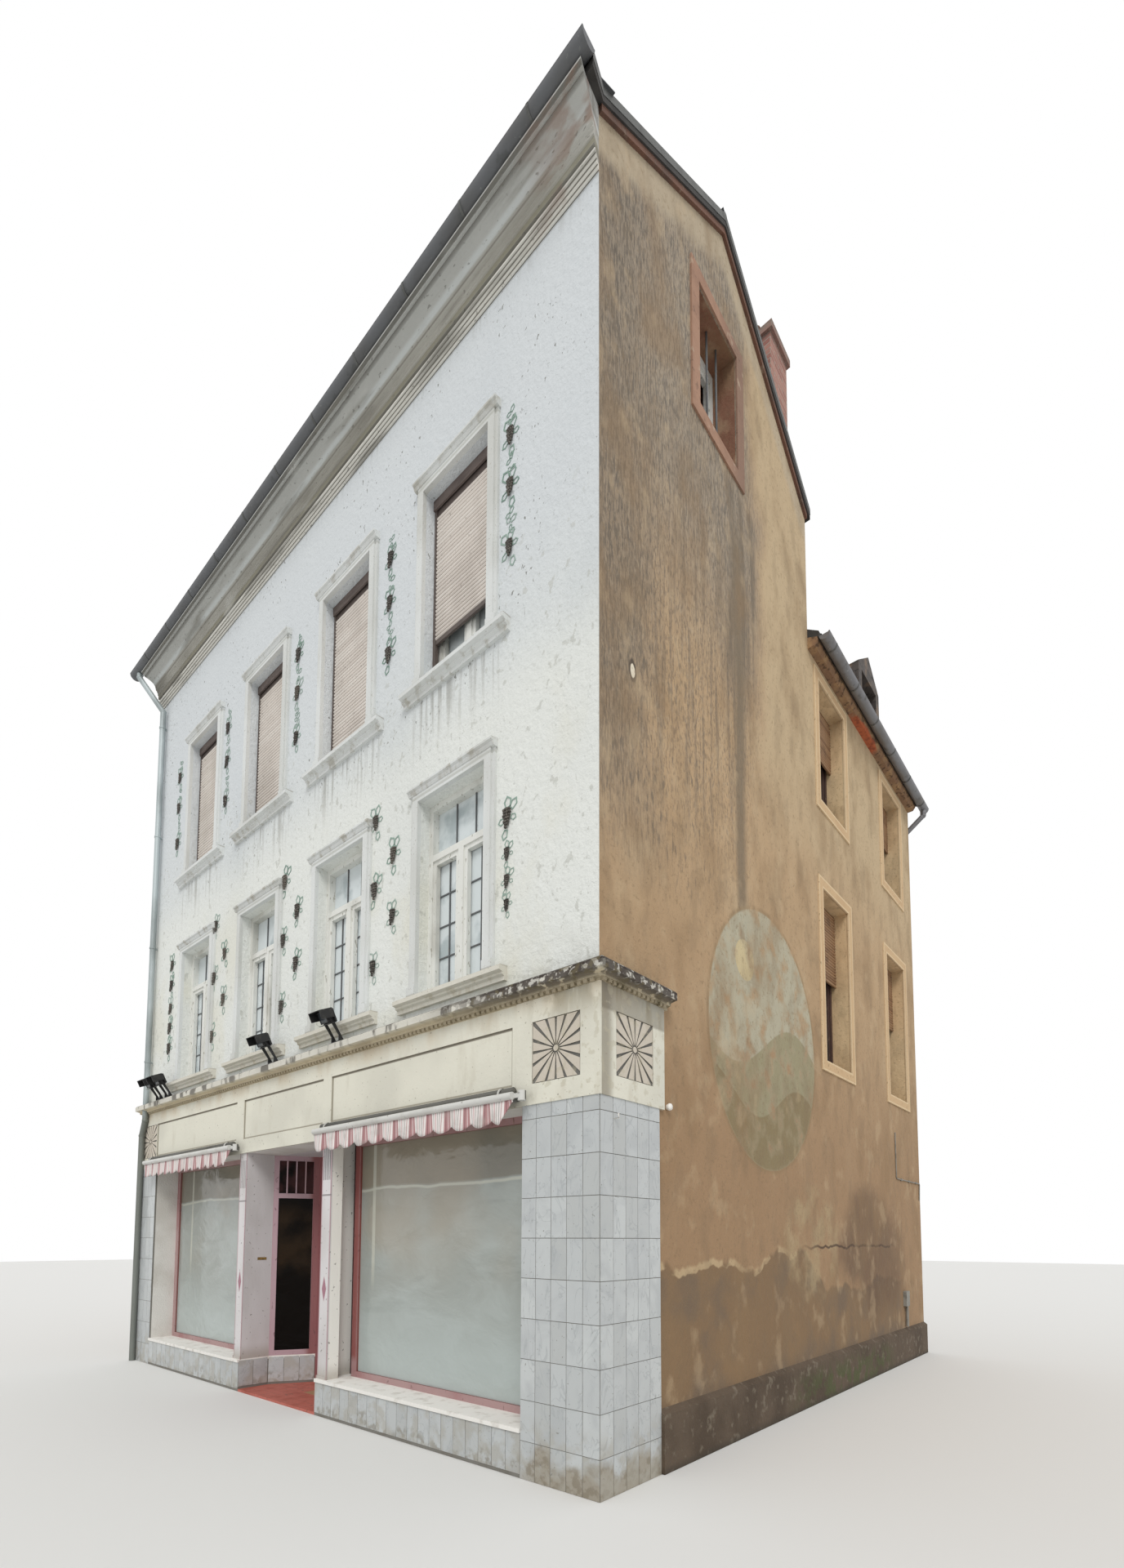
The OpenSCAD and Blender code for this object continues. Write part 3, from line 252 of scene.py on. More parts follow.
def tan_render(name, street_side):
    """The render of the sides; on the alley side with its streaks, patches and painted panel."""
    coat = Coat(name, "#b69a78", rough=0.93)
    t = coat.plus(coat.y, -FRONT_Y)
    z = coat.z
    wide = coat.noise(0.6, 4.0, (1, 1, 0.4))
    coat.layer("#a78d6c", 0.8, coat.over(wide, 0.42, 0.7))
    coat.mottle("#c4ad8c", 0.6, 0.5, 0.75, 1.7, 5.0, (1, 1, 0.6), (4, 2, 7))
    coat.layer("#97795b", 0.8, coat.over(z, 5.6, 2.2))
    streak = coat.patch(0.42, 0.66, 2.6, 5.0, (1, 3.2, 0.2))
    dashes = coat.patch(0.47, 0.6, 15.0, 3.0, (1, 3.4, 0.5))
    if street_side:
        waver = coat.times(coat.minus(coat.noise(0.9, 3.0), 0.5), 1.2)
        edge = coat.plus(t, waver)
        clean = coat.both(coat.over(edge, 2.6, 3.0), coat.over(z, 5.5, 7.5))
        coat.layer("#bfaa89", 0.85, clean)
        high = coat.both(coat.over(z, 6.6, 8.9), coat.over(edge, 2.95, 2.35))
        coat.layer("#9a8e7e", 0.9, high)
        coat.layer("#6f685f", 0.75, high, dashes)
        corner = coat.both(coat.over(edge, 1.0, 0.2), coat.band(z, 4.3, 5.8, 10.6, 11.0))
        coat.layer("#85796a", 0.75, corner)
        coat.layer("#5f574d", 0.7, corner, dashes)
        middle = coat.both(coat.over(edge, 2.6, 2.0), coat.band(z, 4.6, 6.4, 8.6, 9.4))
        fine_streak = coat.patch(0.45, 0.66, 4.0, 6.0, (1, 4.5, 0.22))
        coat.layer("#857562", 0.75, middle, fine_streak)
        pits = coat.both(coat.over(edge, 1.9, 1.2), coat.band(z, 4.4, 5.2, 6.4, 7.2))
        mottle = coat.patch(0.5, 0.62, 26.0, 4.0, (1, 1.6, 0.6), (6, 6, 6))
        old_part = coat.both(coat.over(edge, 2.9, 2.3), coat.over(z, 4.2, 6.4))
        coat.layer("#5f564b", 0.5, old_part, mottle)
        pale_mottle = coat.patch(0.55, 0.68, 22.0, 4.0, (1, 1.6, 0.6), (2, 8, 3))
        coat.layer("#b5a48d", 0.35, old_part, pale_mottle)
        coat.layer("#6b6154", 0.7, pits, coat.patch(0.55, 0.66, 11.0, 4.0, (1, 2.2, 0.6)))
        below_window = coat.both(coat.band(t, 1.75, 2.15, 2.55, 2.85), coat.band(z, 6.2, 8.0, 9.3, 9.5))
        coat.layer("#6c6153", 0.8, below_window, coat.over(streak, -0.3, 0.9))
        runnel = coat.both(coat.band(coat.plus(t, coat.times(waver, 0.15)), 2.1, 2.22, 2.3, 2.45),
                           coat.band(z, 4.1, 5.0, 8.6, 9.3))
        coat.layer("#776a58", 0.8, runnel)
        over_front = coat.minus(FRONT_TOP, coat.minus(z, coat.times(t, FRONT_SLOPE)))
        rear_line = coat.plus(RIDGE_TOP, coat.times(coat.minus(t, RIDGE_T), -REAR_SLOPE))
        over_rear = coat.minus(rear_line, z)
        to_roof = coat.sum("MINIMUM", over_front, over_rear)
        verge = coat.both(coat.over(coat.plus(to_roof, coat.times(waver, 0.25)), 0.5, 0.3),
                          coat.over(t, 4.2, 4.05))
        coat.layer("#b5a68e", 0.9, verge)
        wave = coat.times(coat.noise(1.3, 4.0, (1, 1, 0.1), (0, 5, 0)), 0.9)
        drop = coat.times(coat.over(t, 3.5, 4.3), 0.42)
        patch_line = coat.plus(coat.plus(z, wave), drop)
        patched = coat.both(coat.over(patch_line, 2.12, 2.06), coat.over(t, 7.6, 6.9))
        coat.layer("#7f674c", 0.9, patched)
        coat.layer("#6e5f50", 0.7, patched, coat.patch(0.45, 0.7, 2.2, 4.0))
        rim = coat.both(coat.band(patch_line, 2.04, 2.06, 2.09, 2.13), coat.over(t, 4.0, 3.4),
                        coat.patch(0.42, 0.55, 3.0, 3.0, shift=(2, 1, 0)))
        coat.layer("#c4ac88", 0.75, rim)
        ragged = coat.minus(coat.times(coat.noise(1.1, 5.0), 3.2), 1.1)
        damp = coat.disc(t, z, (6.1, 1.6), (1.3, 0.75), ragged, 0.7)
        coat.layer("#5f4a3a", 0.7, damp)
        foot = coat.over(coat.plus(z, wave), 1.15, 0.75)
        coat.layer("#6a5f54", 0.75, foot)
        salts = coat.disc(t, z, (3.9, 1.75), (0.75, 0.6), coat.noise(2.6, 5.0, shift=(1, 1, 1)), 0.3)
        coat.layer("#ad9a78", 0.6, salts, coat.patch(0.4, 0.6, 3.0, 5.0))
        drip = coat.plus(1.7, coat.times(coat.minus(coat.noise(3.0, 3.0, (1, 1, 0.0)), 0.5), 0.16))
        crack = coat.both(coat.band(coat.minus(z, drip), -0.022, -0.006, 0.006, 0.022),
                          coat.band(t, 3.4, 4.2, 6.6, 7.0))
        coat.layer("#4c3a2d", 0.9, crack)
        # The painted panel: an oval of pale sky with a low sun over two hills and a field
        faded = coat.patch(0.72, 0.44, 5.0, 8.0, shift=(7, 7, 7))
        oval = coat.disc(t, z, (2.8, 3.8), (1.22, 1.32), soft=0.02)
        coat.layer("#8c7656", 0.6, coat.disc(t, z, (2.8, 3.8), (1.26, 1.36), soft=0.03), faded)
        coat.layer("#b9b7a3", 0.75, oval, faded)
        coat.layer("#cdbb90", 0.8, coat.disc(t, z, (2.3, 4.5), (0.2, 0.2), soft=0.05), faded)
        far_hill = coat.plus(3.75, coat.times(coat.sum("SINE", coat.times(t, 2.3)), 0.28))
        near_hill = coat.plus(3.2, coat.times(coat.sum("SINE", coat.times(t, 3.1)), -0.2))
        coat.layer("#8f8665", 0.75, oval, faded, coat.over(coat.minus(far_hill, z), 0.0, 0.02))
        coat.layer("#82704f", 0.75, oval, faded, coat.over(coat.minus(near_hill, z), 0.0, 0.02))
        reveal = coat.both(coat.over(coat.x, CORNER_X - 0.01, CORNER_X - 0.02),
                           coat.over(coat.x, CORNER_X - 0.3, CORNER_X - 0.28),
                           coat.over(t, 4.2, 4.3))
        coat.layer("#d6bb93", 0.75, reveal)
        hole = coat.both(coat.over(coat.x, CORNER_X - 0.008, CORNER_X - 0.012),
                         coat.over(coat.away(t, z, [(1.5, 2.32, 9.5, 11.0)]), 0.05, 0.04))
        coat.layer("#80543f", 0.9, hole)
        knock = coat.disc(t, z, (0.43, 6.26), (0.03, 0.06), coat.noise(9.0, 3.0), 0.15)
        coat.layer("#4a4036", 0.85, coat.disc(t, z, (0.43, 6.26), (0.05, 0.1), coat.noise(9.0, 3.0), 0.3))
        coat.layer("#e2d8c4", 1.0, knock)
    else:
        coat.layer("#8e7c66", 0.45, streak)
        coat.layer("#7a6a58", 0.7, coat.over(z, 1.3, 0.5))
    coat.mottle("#8b7152", 0.5, 0.46, 0.72, 2.2, 8.0, (1, 1, 0.6), (9, 1, 2))
    coat.mottle("#7f6b50", 0.45, 0.56, 0.72, 30.0, 3.0)
    coat.mottle("#7d6a52", 0.25, 0.5, 0.66, 5.0, 9.0, (1, 1, 0.5), (3, 9, 4))
    coat.mottle("#c2ab8a", 0.3, 0.54, 0.7, 4.0, 9.0, (1, 1, 0.8), (9, 9, 1))
    coat.relief(coat.noise(14.0, 5.0, (1, 1, 0.6)), 0.012).relief(coat.noise(90.0, 2.0), 0.003)
    return coat


tan_render("alley_render", True).done("gable_wall", "wing_side_wall")
tan_render("court_render", False).done("rear_wall", "wing_court_wall", "wing_end_wall", "party_wall")


# Floors and the rooms behind the windows: boards on joists upstairs and worn screed in the shop. They show only
# dimly through the glass.
boards = Coat("floor_boards", "#7a5f45", rough=0.7)
boards.mottle("#5c4532", 0.7, 0.4, 0.7, 2.0, 4.0, (0.3, 6.0, 1))
seams = boards.sum("FRACT", boards.sum("DIVIDE", boards.y, 0.14))
boards.layer("#2f241b", 0.8, boards.over(seams, 0.06, 0.02))
boards.done("upper_floors")
screed = Coat("shop_screed", "#8b867d", rough=0.8)
screed.mottle("#6f6a61", 0.7, 0.45, 0.7, 1.8, 5.0)
screed.relief(screed.noise(40.0, 3.0), 0.002)
screed.done("ground_floor")


# The roofs: natural slates nailed in half-lapped courses over dark boarding. The slates vary in shade, and a thin
# green growth lies on them.
SLATE = (0.24, 0.30, 0.007)
SLATE_LAP = 0.145


def mesh_of(name, verts, faces):
    """A mesh whose faces all look outwards."""
    mesh = bpy.data.meshes.new(name)
    mesh.from_pydata([tuple(v) for v in verts], [], faces)
    form = bmesh.new()
    form.from_mesh(mesh)
    bmesh.ops.recalc_face_normals(form, faces=form.faces)
    form.to_mesh(mesh)
    form.free()
    return mesh


def slab(low, high):
    """The corners and faces of one block."""
    (x0, y0, z0), (x1, y1, z1) = low, high
    verts = [(x0, y0, z0), (x1, y0, z0), (x1, y1, z0), (x0, y1, z0), (x0, y0, z1), (x1, y0, z1), (x1, y1, z1),
             (x0, y1, z1)]
    return verts, [(0, 3, 2, 1), (4, 5, 6, 7), (0, 1, 5, 4), (1, 2, 6, 5), (2, 3, 7, 6), (3, 0, 4, 7)]


def join(parts):
    """One list of corners and faces from several."""
    verts, faces = [], []
    for part_verts, part_faces in parts:
        faces += [tuple(i + len(verts) for i in face) for face in part_faces]
        verts += [tuple(v) for v in part_verts]
    return verts, faces


def moved(part, matrix):
    verts, faces = part
    return [matrix @ Vector(v) for v in verts], faces


def tube(path, radius, sides=8):
    """A round bar through a list of points, with capped ends."""
    points = [Vector(p) for p in path]
    verts, faces = [], []
    for i, point in enumerate(points):
        ahead = (points[min(i + 1, len(points) - 1)] - points[max(i - 1, 0)]).normalized()
        side = ahead.cross(Vector((0.31, 0.17, 0.93))).normalized()
        up = side.cross(ahead)
        for k in range(sides):
            angle = 2 * math.pi * k / sides
            verts.append(point + (side * math.cos(angle) + up * math.sin(angle)) * radius)
    for i in range(len(points) - 1):
        for k in range(sides):
            a, b = i * sides + k, i * sides + (k + 1) % sides
            faces.append((a, b, b + sides, a + sides))
    faces.append(tuple(range(sides - 1, -1, -1)))
    faces.append(tuple(range(len(verts) - sides, len(verts))))
    return verts, faces


def piece(name, shape, coat, smooth=False):
    """A finished piece of the house on its one body."""
    mesh = shape if isinstance(shape, bpy.types.Mesh) else mesh_of(name, *shape)
    if not mesh.materials:
        mesh.materials.append(coat)
    if smooth:
        mesh.shade_smooth()
    mesh.name = name
    obj = bpy.data.objects.new(name, mesh)
    bpy.context.scene.collection.objects.link(obj)
    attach(obj, "root")
    return obj


def course_tree():
    """Copies of an item in rows and columns, with a half bond, jitter, losses and a random shade for each."""
    tree = bpy.data.node_groups.new("courses", "GeometryNodeTree")
    tree.interface.new_socket("Geometry", in_out="OUTPUT", socket_type="NodeSocketGeometry")
    kinds = {"Item": "NodeSocketObject", "Coat": "NodeSocketMaterial", "Columns": "NodeSocketInt",
             "Rows": "NodeSocketInt", "Pitch": "NodeSocketVector", "Stagger": "NodeSocketFloat",
             "Jitter": "NodeSocketVector", "Lean": "NodeSocketVector", "Loss": "NodeSocketFloat",
             "Seed": "NodeSocketInt", "Place": "NodeSocketVector", "Turn": "NodeSocketVector"}
    for label, kind in kinds.items():
        tree.interface.new_socket(label, in_out="INPUT", socket_type=kind)
    given = add(tree, "NodeGroupInput").outputs
    out = add(tree, "NodeGroupOutput")

    def calc(operation, *values):
        return add(tree, "ShaderNodeMath", *values, operation=operation).outputs[0]

    def chance(kind, seed_step, low=None, high=None):
        node = add(tree, "FunctionNodeRandomValue", data_type=kind)
        start = {"FLOAT_VECTOR": 0, "FLOAT": 2}.get(kind)
        if start is not None:
            put(tree, node.inputs[start], low)
            put(tree, node.inputs[start + 1], high)
        put(tree, node.inputs["Seed"], calc("ADD", given["Seed"], float(seed_step)))
        return node

    index = add(tree, "GeometryNodeInputIndex").outputs[0]
    row = calc("FLOOR", calc("DIVIDE", index, given["Columns"]))
    column = calc("SUBTRACT", index, calc("MULTIPLY", row, given["Columns"]))
    bond = calc("MULTIPLY", calc("MODULO", row, 2.0), given["Stagger"])
    pitch = add(tree, "ShaderNodeSeparateXYZ", given["Pitch"])
    at = add(tree, "ShaderNodeCombineXYZ", calc("MULTIPLY", calc("ADD", column, bond), pitch.outputs[0]),
             calc("MULTIPLY", row, pitch.outputs[1]), calc("MULTIPLY", row, pitch.outputs[2])).outputs[0]
    back = add(tree, "ShaderNodeVectorMath", given["Jitter"], operation="SCALE")
    put(tree, back.inputs["Scale"], -1.0)
    shift = chance("FLOAT_VECTOR", 1, back.outputs[0], given["Jitter"]).outputs[0]
    spot = add(tree, "ShaderNodeVectorMath", at, shift, operation="ADD").outputs[0]
    points = add(tree, "GeometryNodePoints")
    put(tree, points.inputs["Count"], calc("MULTIPLY", given["Columns"], given["Rows"]))
    put(tree, points.inputs["Position"], spot)
    lost = chance("BOOLEAN", 2)
    put(tree, lost.inputs["Probability"], given["Loss"])
    kept = add(tree, "GeometryNodeDeleteGeometry", points.outputs[0], lost.outputs[3], domain="POINT")
    item = add(tree, "GeometryNodeObjectInfo", given["Item"])
    turned = add(tree, "ShaderNodeVectorMath", given["Lean"], operation="SCALE")
    put(tree, turned.inputs["Scale"], chance("FLOAT", 3, -1.0, 1.0).outputs[1])
    copies = add(tree, "GeometryNodeInstanceOnPoints")
    put(tree, copies.inputs["Points"], kept.outputs[0])
    put(tree, copies.inputs["Instance"], item.outputs["Geometry"])
    put(tree, copies.inputs["Rotation"], turned.outputs[0])
    shade = add(tree, "GeometryNodeStoreNamedAttribute", data_type="FLOAT", domain="INSTANCE")
    put(tree, shade.inputs["Geometry"], copies.outputs[0])
    put(tree, shade.inputs["Name"], "shade")
    put(tree, shade.inputs["Value"], chance("FLOAT", 4, 0.0, 1.0).outputs[1])
    solid = add(tree, "GeometryNodeRealizeInstances", shade.outputs[0])
    placed = add(tree, "GeometryNodeTransform")
    put(tree, placed.inputs["Geometry"], solid.outputs[0])
    put(tree, placed.inputs["Translation"], given["Place"])
    put(tree, placed.inputs["Rotation"], given["Turn"])
    coated = add(tree, "GeometryNodeSetMaterial")
    put(tree, coated.inputs["Geometry"], placed.outputs[0])
    put(tree, coated.inputs["Material"], given["Coat"])
    put(tree, out.inputs[0], coated.outputs[0])
    return tree


COURSES = course_tree()


def courses(item, coat, columns, rows, pitch, place, turn=(0, 0, 0), stagger=0.0, jitter=(0, 0, 0),
            lean=(0, 0, 0),
            loss=0.0, seed=1):
    """Runs the tree on one item and returns its corners, faces and shades as a plain mesh."""
    source = bpy.data.objects.new("item", mesh_of("item", *item))
    carrier = bpy.data.objects.new("carrier", bpy.data.meshes.new("carrier"))
    for obj in (source, carrier):
        bpy.context.scene.collection.objects.link(obj)
    modifier = carrier.modifiers.new("courses", "NODES")
    modifier.node_group = COURSES
    values = {"Item": source, "Coat": coat, "Columns": columns, "Rows": rows, "Pitch": pitch,
              "Stagger": stagger,
              "Jitter": jitter, "Lean": lean, "Loss": loss, "Seed": seed, "Place": place, "Turn": turn}
    for socket in COURSES.interface.items_tree:
        if socket.in_out == "INPUT":
            modifier[socket.identifier] = values[socket.name]
    bpy.context.view_layer.update()
    graph = bpy.context.evaluated_depsgraph_get()
    mesh = bpy.data.meshes.new_from_object(carrier.evaluated_get(graph))
    bpy.data.objects.remove(carrier)
    bpy.data.objects.remove(source)
    return mesh


def merge(name, meshes):
    """One mesh from several, with their shades kept."""
    objects = []
    for mesh in meshes:
        obj = bpy.data.objects.new(name, mesh)
        bpy.context.scene.collection.objects.link(obj)
        objects.append(obj)
    with bpy.context.temp_override(active_object=objects[0], selected_editable_objects=objects):
        bpy.ops.object.join()
    mesh = objects[0].data
    bpy.data.objects.remove(objects[0])
    return mesh


def shaded(coat, dark, light=None, strength=0.8):
    """Varies a coat from one copy to the next."""
    shade = add(coat.tree, "ShaderNodeAttribute", attribute_name="shade").outputs["Fac"]
    coat.layer(dark, strength, coat.over(shade, 0.45, 0.0))
    if light:
        coat.layer(light, strength, coat.over(shade, 0.6, 1.0))
    return coat


slate = Coat("roof_slate", "#4d5053", rough=0.55)
shaded(slate, "#383b3e", "#676865")
slate.mottle("#5e6152", 0.5, 0.5, 0.72, 3.0, 4.0)
slate.relief(slate.noise(35.0, 4.0, (1, 3, 1)), 0.003)
slate_mat = slate.done()
underlay = Coat("roof_boarding", "#3c3a38", rough=0.9)
underlay.mottle("#2c2a29", 0.8, 0.4, 0.7, 6.0, 3.0)
underlay.done("roof_front", "roof_rear", "wing_roof_street", "wing_roof_court")


def slope(name, run, foot, up, axis_turn, seed):
    """Slates over one roof plane, from the foot of its left edge up along one way."""
    columns = int(run / SLATE[0])
    rows = int((up.length - SLATE[1]) / SLATE_LAP) + 2
    width = run / (columns + 0.5)
    tilt = math.atan2(up.z, math.hypot(up.x, up.y))
    item = slab((0.002, -0.016, 0.0), (width - 0.002, -0.009, SLATE[1]))
    lifted = moved(item, Matrix.Rotation(0.026, 4, "X"))
    turn = Matrix.Rotation(axis_turn, 4, "Z") @ Matrix.Rotation(tilt - math.pi / 2, 4, "X")
    return courses(lifted, slate_mat, columns, rows, (width, 0.0, SLATE_LAP), tuple(foot),
                   tuple(turn.to_euler()),
                   stagger=0.5, jitter=(0.002, 0.0, 0.004), lean=(0, 0, 0.008), seed=seed)


roof_low, roof_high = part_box("roof_front")
rear_low, rear_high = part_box("roof_rear")
ROOF_THICK = 0.11
ridge_y, ridge_z, eave_y = roof_high.y, roof_high.z, roof_low.y
gable_edge = rear_high.x
front_run = gable_edge - roof_low.x
front_foot = Vector((roof_low.x, FRONT_Y, FRONT_TOP + ROOF_THICK))
front_up = Vector((0, ridge_y - FRONT_Y, ridge_z - front_foot.z))
front_slates = slope("front", front_run, front_foot, front_up, 0.0, 11)
EAVE_RISE = 0.155
eave_foot = Vector((roof_low.x, eave_y, front_foot.z - EAVE_RISE))
eave_up = Vector((0, FRONT_Y - eave_y, EAVE_RISE))
eave_slates = slope("eave", front_run + 0.03, eave_foot, eave_up, 0.0, 12)
rear_rise = (rear_high.y - ridge_y) * REAR_SLOPE
rear_foot = Vector((rear_high.x, rear_high.y, ridge_z - rear_rise))
rear_up = Vector((0, ridge_y - rear_high.y, rear_rise))
rear_slates = slope("rear", front_run, rear_foot, rear_up, math.pi, 13)
piece("main_roof_slates", merge("main_roof_slates", [front_slates, eave_slates, rear_slates]), slate_mat)

wing_low, wing_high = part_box("wing_roof_street")
court_low, court_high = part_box("wing_roof_court")
WING_MID = 2.35
WING_SLOPE = math.tan(math.radians(35))
wing_edge_z = wing_high.z - (wing_high.x - WING_MID) * WING_SLOPE
wing_run = wing_high.y - 2.13
wing_up = Vector((WING_MID - wing_high.x, 0, wing_high.z - wing_edge_z))
street_slates = slope("wing", wing_run, (wing_high.x, 2.13, wing_edge_z), wing_up, math.pi / 2, 14)
court_up = Vector((-wing_up.x, 0, wing_up.z))
court_slates = slope("court", wing_run, (court_low.x, wing_high.y, wing_edge_z), court_up, -math.pi / 2, 15)
piece("wing_roof_slates", merge("wing_roof_slates", [street_slates, court_slates]), slate_mat)


# The zinc and the boards of the roof edge: a roll along each ridge, half-round gutters held by straps, a flashing
# folded over the verge, and a red-brown board nailed under it.
zinc = Coat("weathered_zinc", "#77777a", rough=0.5, metal=0.3)
zinc.mottle("#67625d", 0.8, 0.42, 0.7, 2.0, 4.0)
zinc.mottle("#4c4a46", 0.7, 0.58, 0.74, 9.0, 4.0)
zinc.mottle("#abaea8", 0.6, 0.66, 0.75, 26.0, 3.0)
zinc.layer("#4d5154", 0.6, zinc.over(zinc.z, 10.0, 10.2))
zinc.relief(zinc.noise(12.0, 2.0), 0.002)
zinc_mat = zinc.done("front_gutter", "wing_gutters")
pale_zinc = Coat("pale_zinc", "#b6c0c2", rough=0.5, metal=0.2)
pale_zinc.mottle("#858d8d", 0.8, 0.4, 0.7, 3.0, 4.0, (1, 1, 0.4))
shop_part = pale_zinc.over(pale_zinc.z, 3.75, 3.5)
pale_zinc.layer("#6d7069", 0.9, shop_part)
pale_zinc.relief(pale_zinc.noise(12.0, 2.0), 0.002)
pale_mat = pale_zinc.done("front_downpipe")
dark_zinc = Coat("dark_zinc", "#5d5e5c", rough=0.55, metal=0.2)
dark_zinc.mottle("#444442", 0.8, 0.45, 0.7, 7.0, 4.0)
dark_mat = dark_zinc.done()
ridge_roll = tube([(roof_low.x, ridge_y, ridge_z + 0.01), (gable_edge, ridge_y, ridge_z + 0.01)], 0.035, 12)
wing_roll = tube([(WING_MID, 0.9, wing_high.z + 0.01), (WING_MID, wing_high.y, wing_high.z + 0.01)], 0.035,
                 12)
piece("ridge_rolls", join([ridge_roll, wing_roll]), zinc_mat, smooth=True)

GUTTER_R, GUTTER_Z, GUTTER_Y = 0.075, 10.60, FRONT_Y - 0.3253
WING_GUTTER_R, WING_GUTTER_Z, WING_GUTTER_X = 0.065, 9.022, CORNER_X + 0.2053
STRAP_STEP = 0.8


def strap(radius, width=0.022, thick=0.004, parts=10):
    """A flat strap under a half-round trough that runs along X, with hooks over both rims."""
    verts, faces = [], []
    for i in range(parts + 1):
        angle = math.pi + math.pi * i / parts
        for r in (radius, radius + thick):
            for side in (-width / 2, width / 2):
                verts.append((side, math.cos(angle) * r, math.sin(angle) * r))
    for i in range(parts):
        a, b = i * 4, i * 4 + 4
        faces += [(a, b, b + 1, a + 1), (a + 2, a + 3, b + 3, b + 2), (a, a + 2, b + 2, b),
                  (a + 1, b + 1, b + 3, a + 3)]
    last = parts * 4
    return verts, faces + [(0, 1, 3, 2), (last, last + 2, last + 3, last + 1)]


front_straps = courses(strap(GUTTER_R + 0.001), dark_mat, 11, 1, (STRAP_STEP, 0, 0),
                       (0.3 - CORNER_X, GUTTER_Y, GUTTER_Z))
wing_straps = courses(strap(WING_GUTTER_R + 0.001), dark_mat, 6, 1, (STRAP_STEP, 0, 0),
                      (WING_GUTTER_X, 2.3, WING_GUTTER_Z), (0, 0, math.pi / 2))
piece("gutter_straps", merge("gutter_straps", [front_straps, wing_straps]), dark_mat)


def ribbon(path, section):
    """A folded sheet: one outline of (out, up) steps carried along a path on the gable's plane."""
    verts, faces = [], []
    count = len(section)
    for px, py, pz in path:
        verts += [(px + out, py, pz + up) for out, up in section]
    for i in range(len(path) - 1):
        for k in range(count):
            a, b = i * count + k, i * count + (k + 1) % count
            faces.append((a, a + count, b + count, b))
    return verts, faces + [tuple(range(count)), tuple(range(len(verts) - 1, len(verts) - count - 1, -1))]


verge_path = [(gable_edge + 0.095, eave_y, eave_foot.z), (gable_edge, FRONT_Y, front_foot.z),
              (gable_edge, ridge_y, ridge_z), (gable_edge, rear_high.y, ridge_z - rear_rise)]
flashing = ribbon(verge_path, [(0.001, -0.055), (0.004, -0.055), (0.004, 0.022), (-0.07, 0.022),
                               (-0.07, 0.018), (0.001, 0.018)])
piece("verge_flashing", flashing, dark_mat)
verge = Coat("verge_board", "#6b4a3b", rough=0.8)
verge.mottle("#4c3a31", 0.8, 0.4, 0.65, 3.0, 4.0)
verge.mottle("#8c7a6a", 0.6, 0.6, 0.72, 12.0, 4.0)
verge.relief(verge.noise(30.0, 3.0), 0.003)
verge.done("verge_boards")


# The main cornice: run in stone on four fillets, a flat band, a bead and a deep cove, and splayed at the gable. Painted
# highlight whitens the fillets and the middle of the cove, painted shade lines its grooves, and rain has streaked the
# cove.
CORNICE_Z = 10.10
cornice = Coat("cornice_stone", "#aaa8a0", rough=0.9)
cornice.mottle("#96938a", 0.8, 0.4, 0.7, 1.1, 4.0)
# Painted highlight on the fillets, with painted shade on the steps between them.
cornice.layer("#e2e0d9", 0.9, cornice.over(cornice.z, CORNICE_Z + 0.095, CORNICE_Z + 0.09))
inner = cornice.sum("FRACT", cornice.sum("DIVIDE", cornice.minus(FRONT_Y - 0.0005, cornice.y), 0.01904))
fillet_shade_step = cornice.sum("FRACT", cornice.sum("DIVIDE", cornice.minus(cornice.z, CORNICE_Z - 0.0004), 0.0219))
cornice.layer("#4f4b42", 0.85, cornice.over(cornice.z, CORNICE_Z + 0.092, CORNICE_Z + 0.09),
              cornice.over(fillet_shade_step, 0.12, 0.08), cornice.over(inner, 0.42, 0.3))
# A painted shadow line under the flat band.
cornice.layer("#4f4b42", 0.85, cornice.band(cornice.z, CORNICE_Z + 0.088, CORNICE_Z + 0.092, CORNICE_Z + 0.103,
                                            CORNICE_Z + 0.107))
cornice.layer("#85816e", 0.8, cornice.band(cornice.z, CORNICE_Z + 0.105, CORNICE_Z + 0.109, CORNICE_Z + 0.158,
                                           CORNICE_Z + 0.162))
cornice.layer("#b7b8b5", 0.85, cornice.over(cornice.z, CORNICE_Z + 0.26, CORNICE_Z + 0.34))
# A painted highlight along the middle of the cove.
cornice.layer("#ccd1d1", 0.7, cornice.band(cornice.z, CORNICE_Z + 0.285, CORNICE_Z + 0.303, CORNICE_Z + 0.315,
                                           CORNICE_Z + 0.333))
# Thin lines of painted shade at the foot of the cove and in the gap under the gutter.
cornice.layer("#7f7c74", 0.7, cornice.band(cornice.z, CORNICE_Z + 0.253, CORNICE_Z + 0.26, CORNICE_Z + 0.266,
                                           CORNICE_Z + 0.276))
cornice.layer("#5a5750", 0.8, cornice.band(cornice.z, CORNICE_Z + 0.35, CORNICE_Z + 0.353, CORNICE_Z + 0.362,
                                           CORNICE_Z + 0.365))
cornice.layer("#5a5750", 0.8, cornice.band(cornice.z, CORNICE_Z + 0.379, CORNICE_Z + 0.382, CORNICE_Z + 0.386,
                                           CORNICE_Z + 0.389))
long_streaks = cornice.patch(0.5, 0.68, 9.0, 5.0, (0.1, 1, 1))
cornice.layer("#807d75", 0.7, long_streaks)
cornice.mottle("#c9c9c4", 0.5, 0.56, 0.72, 3.0, 5.0, (0.4, 1, 1.5), (5, 5, 5))
cornice.mottle("#5f5c55", 0.55, 0.64, 0.72, 34.0, 3.0, (0.5, 1, 1))
